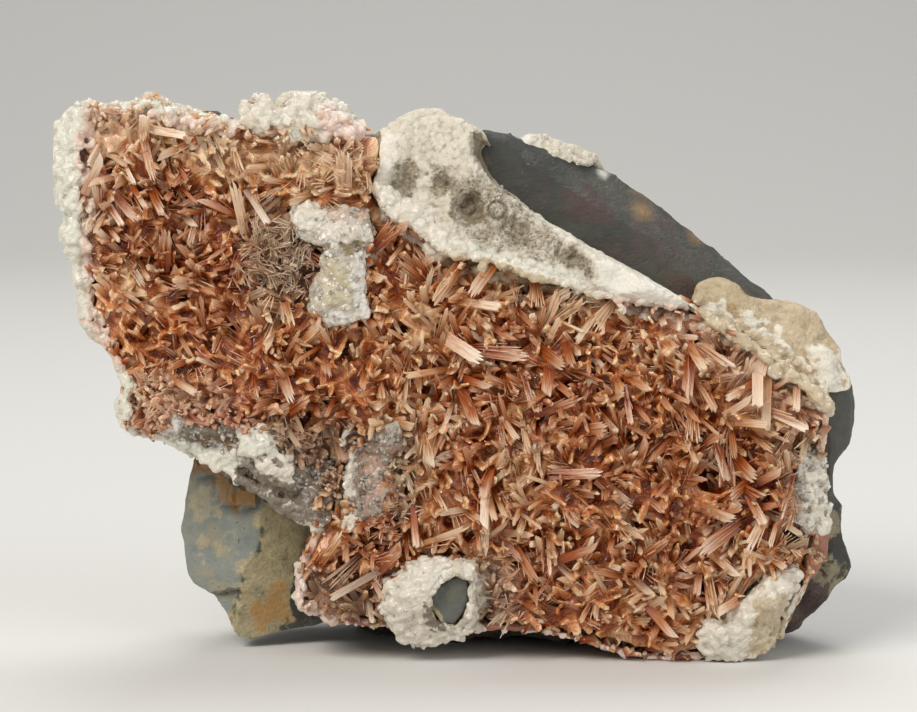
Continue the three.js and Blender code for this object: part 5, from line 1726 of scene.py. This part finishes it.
# outline, how many, smallest and largest in mm, and tint of the grown-together knobs
knobPlaces = [
    ([(-45.5, 29.1), (-41.6, 30.5), (-42.1, 25.7), (-43, 20), (-43.2, 14.3), (-42.6, 7.5), (-41.2, 1.8),
      (-38, -5), (-38.7, -7.3), (-41.6, 0.7), (-44.6, 12), (-46, 20)], 420, 0.7, 1.6, "green"),
    ([(-44.1, 29.3), (-39.6, 28.6), (-35.1, 29.2), (-30.5, 28.4), (-24.8, 27), (-25.3, 25.9),
      (-35.1, 27.5), (-41.2, 28)], 200, 0.6, 1.2, "green"),
    ([(-42.1, 28.4), (-35.1, 28), (-25.3, 26.4), (-25.3, 24.8), (-35.1, 26.4), (-41.2, 27)], 150, 0.6,
     1.2, "pinkish"),
    ([(-42.6, 28.2), (-41.2, 28.2), (-41.6, 20), (-41.6, 10.9), (-41, 5.2), (-38.7, 1.2), (-39.8, 0.7),
      (-41.9, 4.5), (-42.8, 12), (-42.8, 20)], 170, 0.6, 1.3, "pinkish"),
    (topTuft, 260, 0.9, 2.0, "clean"),
    ([(-15.7, 28.5), (-10.5, 25.9), (-11.2, 24.3), (-15.7, 24.8)], 50, 1.0, 1.8, "pinkish"),
    ([(-38.7, -2.2), (-37.3, -1.6), (-37.1, -8.4), (-30.5, -9.5), (-24.8, -11.8), (-25.3, -13.2),
      (-31.6, -12), (-38.5, -9.5)], 260, 0.6, 1.5, "green"),
    ([(-10.1, 19.8), (-7.6, 19.1), (-5.3, 17.3), (-3, 15.2), (1.3, 12), (7, 10.5), (12.7, 8.6),
      (17.2, 6.7), (16.1, 5.7), (11.5, 6.7), (4.7, 8.6), (-2.1, 10), (-4.4, 12.5), (-8.5, 15.5)],
     330, 0.7, 1.7, "clean"),
    ([(-2.1, 12), (4.7, 10.7), (11.5, 8.4), (11.5, 6.4), (4.7, 8.2), (-2.1, 9.8)], 110, 0.6, 1.3, "tan"),
    ([(16.1, 7.3), (26.3, 5.5), (26.3, 3.9), (20.6, 4.4), (16.1, 5.5)], 130, 0.6, 1.2, "pinkish"),
    ([(26.8, 5.9), (32, 4.1), (37.7, 0.7), (43.1, -5), (42.7, -6.8), (38.8, -4.8), (33.4, 0.2),
      (27.4, 3.6)], 480, 0.8, 1.8, "tan"),
    ([(-9.1, -26.6), (-6.6, -23.9), (-2.1, -22.7), (-0.7, -23.9), (-2.6, -25.5), (-3.5, -27.7),
      (-3.2, -30.2), (-1, -31.8), (1.5, -31.8), (2, -33.2), (-2.1, -33.6), (-6.6, -32.3)], 420, 0.7, 1.5,
     "clean"),
    ([(-3.9, -28.2), (-2.8, -28.9), (-1, -30.9), (-1.6, -31.6), (-3.5, -30.7)], 50, 0.4, 0.8, "smoky"),
    ([(0.4, -23.9), (2.4, -23.4), (3.1, -27.7), (2.2, -31.8), (0.6, -31.6), (1.3, -27.7)], 110, 0.5, 1.2,
     "clean"),
    ([(27.4, -31.1), (32, -27.7), (38.4, -24.1), (38.6, -26.8), (34.3, -30), (32.6, -34.8),
      (27.9, -34.8)], 330, 0.8, 1.8, "clean"),
    ([(33.8, -27.7), (37.7, -26.8), (37, -33.4), (32.9, -34.1)], 100, 0.6, 1.3, "tan"),
    ([(-24.8, -8), (-21, -8.4), (-21, -11.1), (-24.8, -11.1)], 70, 0.8, 1.7, "green"),
    ([(-23, -11.6), (-19.1, -11.6), (-19.1, -14.8), (-22.3, -14.8)], 70, 0.8, 1.8, "clean"),
    ([(-32.1, -10.2), (-25.3, -10.7), (-25.3, -12.5), (-31.2, -12.3)], 90, 0.6, 1.3, "green"),
    ([(-18.9, -15.9), (-14.8, -16.6), (-15.1, -18), (-18.7, -17.3)], 50, 0.6, 1.2, "green"),
    ([(-25.3, -12.3), (-14.6, -15.9), (-14.1, -19.5), (-20.3, -18.6), (-25.7, -14.5)], 200, 0.7, 1.5,
     "smoky"),
    (rightEdge, 130, 0.6, 1.3, "clean"),
    ([(-18.9, 17.3), (-15.5, 17), (-15.3, 14.5), (-18.5, 14.5)], 50, 0.7, 1.5, "clean"),
    ([(-15.5, 14.8), (-9.8, 14.8), (-9.8, 13.2), (-15.1, 13)], 60, 0.6, 1.2, "clean"),
    ([(-13.5, -7.7), (-11, -8), (-11.9, -11.8), (-12.3, -16.4), (-11.2, -19.8), (-13, -19.8)], 120, 0.6,
     1.2, "clean"),
    ([(-21.2, -17.2), (-19.1, -17.6), (-17.1, -18.3), (-15.3, -19.1), (-16, -20), (-16.6, -19.8),
      (-17.6, -21.5), (-17.7, -23.2), (-18.1, -24.7), (-18.9, -24.4), (-18.5, -22.7), (-18.2, -21.2),
      (-17.3, -19.5), (-19.4, -18.5), (-21, -17.8)], 260, 0.5, 1.0, "clean"),
    ([(-18.7, -24.3), (-17.6, -24.8), (-17.1, -27.7), (-13.5, -30.2), (-8.4, -30.9), (-8.4, -32.3),
      (-14, -32), (-18.2, -28.9), (-19.1, -26.1)], 220, 0.5, 1.1, "pinkish"),
    ([(2.2, -30.9), (11.5, -31.4), (20.6, -33.6), (27.4, -33.6), (27.4, -35), (20.6, -35), (11.5, -33),
      (2.2, -32.5)], 240, 0.5, 1.0, "pinkish"),
    ([(-43.4, 25.7), (-41.6, 25.7), (-41.8, 21.4), (-43.4, 21.4)], 34, 0.8, 1.4, "pinkish"),
]
# the same for single rhombs that stay sharp
rhombPlaces = [
    (topTuft, 90, 0.6, 1.3, "clean"),
    ([(-15.2, 28.5), (-10.5, 25.9), (-11.2, 24.5), (-15.2, 24.8)], 22, 1.0, 1.8, "pinkish"),
    ([(-25.3, -7.8), (-18.9, -9.5), (-12.9, -11.2), (-12.9, -16.9), (-18.5, -15.2), (-24.8, -11.8)], 90,
     0.4, 1.0, "smoky"),
    (rightEdge, 80, 0.4, 0.9, "clean"),
    ([(-19.1, 17.3), (-9.6, 16.8), (-9.8, 3.9), (-16, 3.9)], 70, 0.3, 0.7, "clean"),
    ([(-9.1, -26.6), (-6.6, -23.9), (-2.1, -22.7), (-0.7, -23.9), (-3.2, -30.2), (2, -33.2),
      (-2.1, -33.6), (-6.6, -32.3)], 70, 0.3, 0.8, "clean"),
]
knobSettings = dict(seed=23, grain=0.225, sunk=0.15)
knobTints = ("green", "tan", "pinkish", "smoky")


def strewn(places, model):
    # copies of a grain on whatever lies in front within each outline
    graph = bpy.context.evaluated_depsgraph_get()
    pieces = (calciteLayer, bed, tanCrust, *grownLumps.values())
    trees = [BVHTree.FromObject(piece, graph) for piece in pieces]
    copies = []
    for outline, count, smallest, largest, tint in places:
        low, high = np.min(outline, axis=0), np.max(outline, axis=0)
        spread = low + (high - low) * np.array([[random.random(),
                                                 random.random()] for _ in range(8 * count)])
        for u, v in spread[inside(spread, outline, 0.1) > 0.5][:count]:
            hits = [hit for hit in (sighted(tree, u, v) for tree in trees) if hit is not None]
            if not hits:
                continue
            middle = min(hits, key=lambda hit: (hit - view.location).length)
            size = smallest + (largest - smallest) * random.random() ** 2
            pointing = threeDraws(random.gauss, 0, 1).normalized()
            middle = middle - (view.location - middle).normalized() * knobSettings["sunk"] * size * mm
            shape = (size, size * random.uniform(0.6, 1), size * random.uniform(0.7, 1.2))
            copies.append({"model": grainModels[model], "tone": random.random(), tint: 1.0,
                           "matrix": standing(middle, pointing, 0, shape)})
    return copies


def knobCrust():
    # the knobs grown together to one bumpy crust
    crust = gathered("calciteKnobs", strewn(knobPlaces, "knob"), keys=("tone",))
    crust.data.attributes.remove(crust.data.attributes["along"])
    remesh(crust, knobSettings["grain"], 1)
    roughen(crust, "CLOUDS", 0.7, 0.4, detail=2)
    keepInside(crust)
    crust.data.shade_flat()
    places = seen(drawn(crust))
    for tint in knobTints:
        store(crust, tint, zone(places, [row[0] for row in knobPlaces if row[4] == tint], 1.0))
    markHollows(crust, 8, 0.3)
    return finishPiece(crust, grainStone, "calcite")


random.seed(knobSettings["seed"])
grainStone = grainMaterial()
knobCrust()
plant("calciteRhombs", strewn(rhombPlaces, "rhomb"), grainStone, "calcite", keys=("tone", *knobTints))

# drusy quartz

pointSettings = dict(
    seed=5,
    size=(0.3, 0.8),
    stretch=(0.8, 1.5),
    perLump=dict(quartz_plate=160, quartz_ring=60, quartz_knob=200, quartz_ledge=380, quartz_edge=120),
)


def pointsOn(lump, count):
    # small quartz points on the front of a lump, more where its surface is larger
    middles, normals, areas = faceArrays(lump.data)
    weights = areas * np.clip(-normals[:, 1] + 0.3, 0, 1)
    copies = []
    for index in random.choices(range(len(areas)), weights, k=count):
        direction = (Vector(normals[index]) + threeDraws(random.gauss, 0, 0.5)).normalized()
        size = random.uniform(*pointSettings["size"]) * random.uniform(0.5, 1)
        tall = size * random.uniform(*pointSettings["stretch"])
        root = Vector(middles[index]) - direction * 0.5 * tall * mm
        copies.append(dict(model=quartzModel, tone=random.random(),
                      matrix=standing(root, direction, random.uniform(0, 3), (size, size, tall))))
    return copies


random.seed(pointSettings["seed"])
points = [copy for node, count in pointSettings["perLump"].items() for copy in pointsOn(grownLumps[node],
                                                                                        count)]
plant("quartzPoints", points, crystalMaterial(), "drusy_quartz")
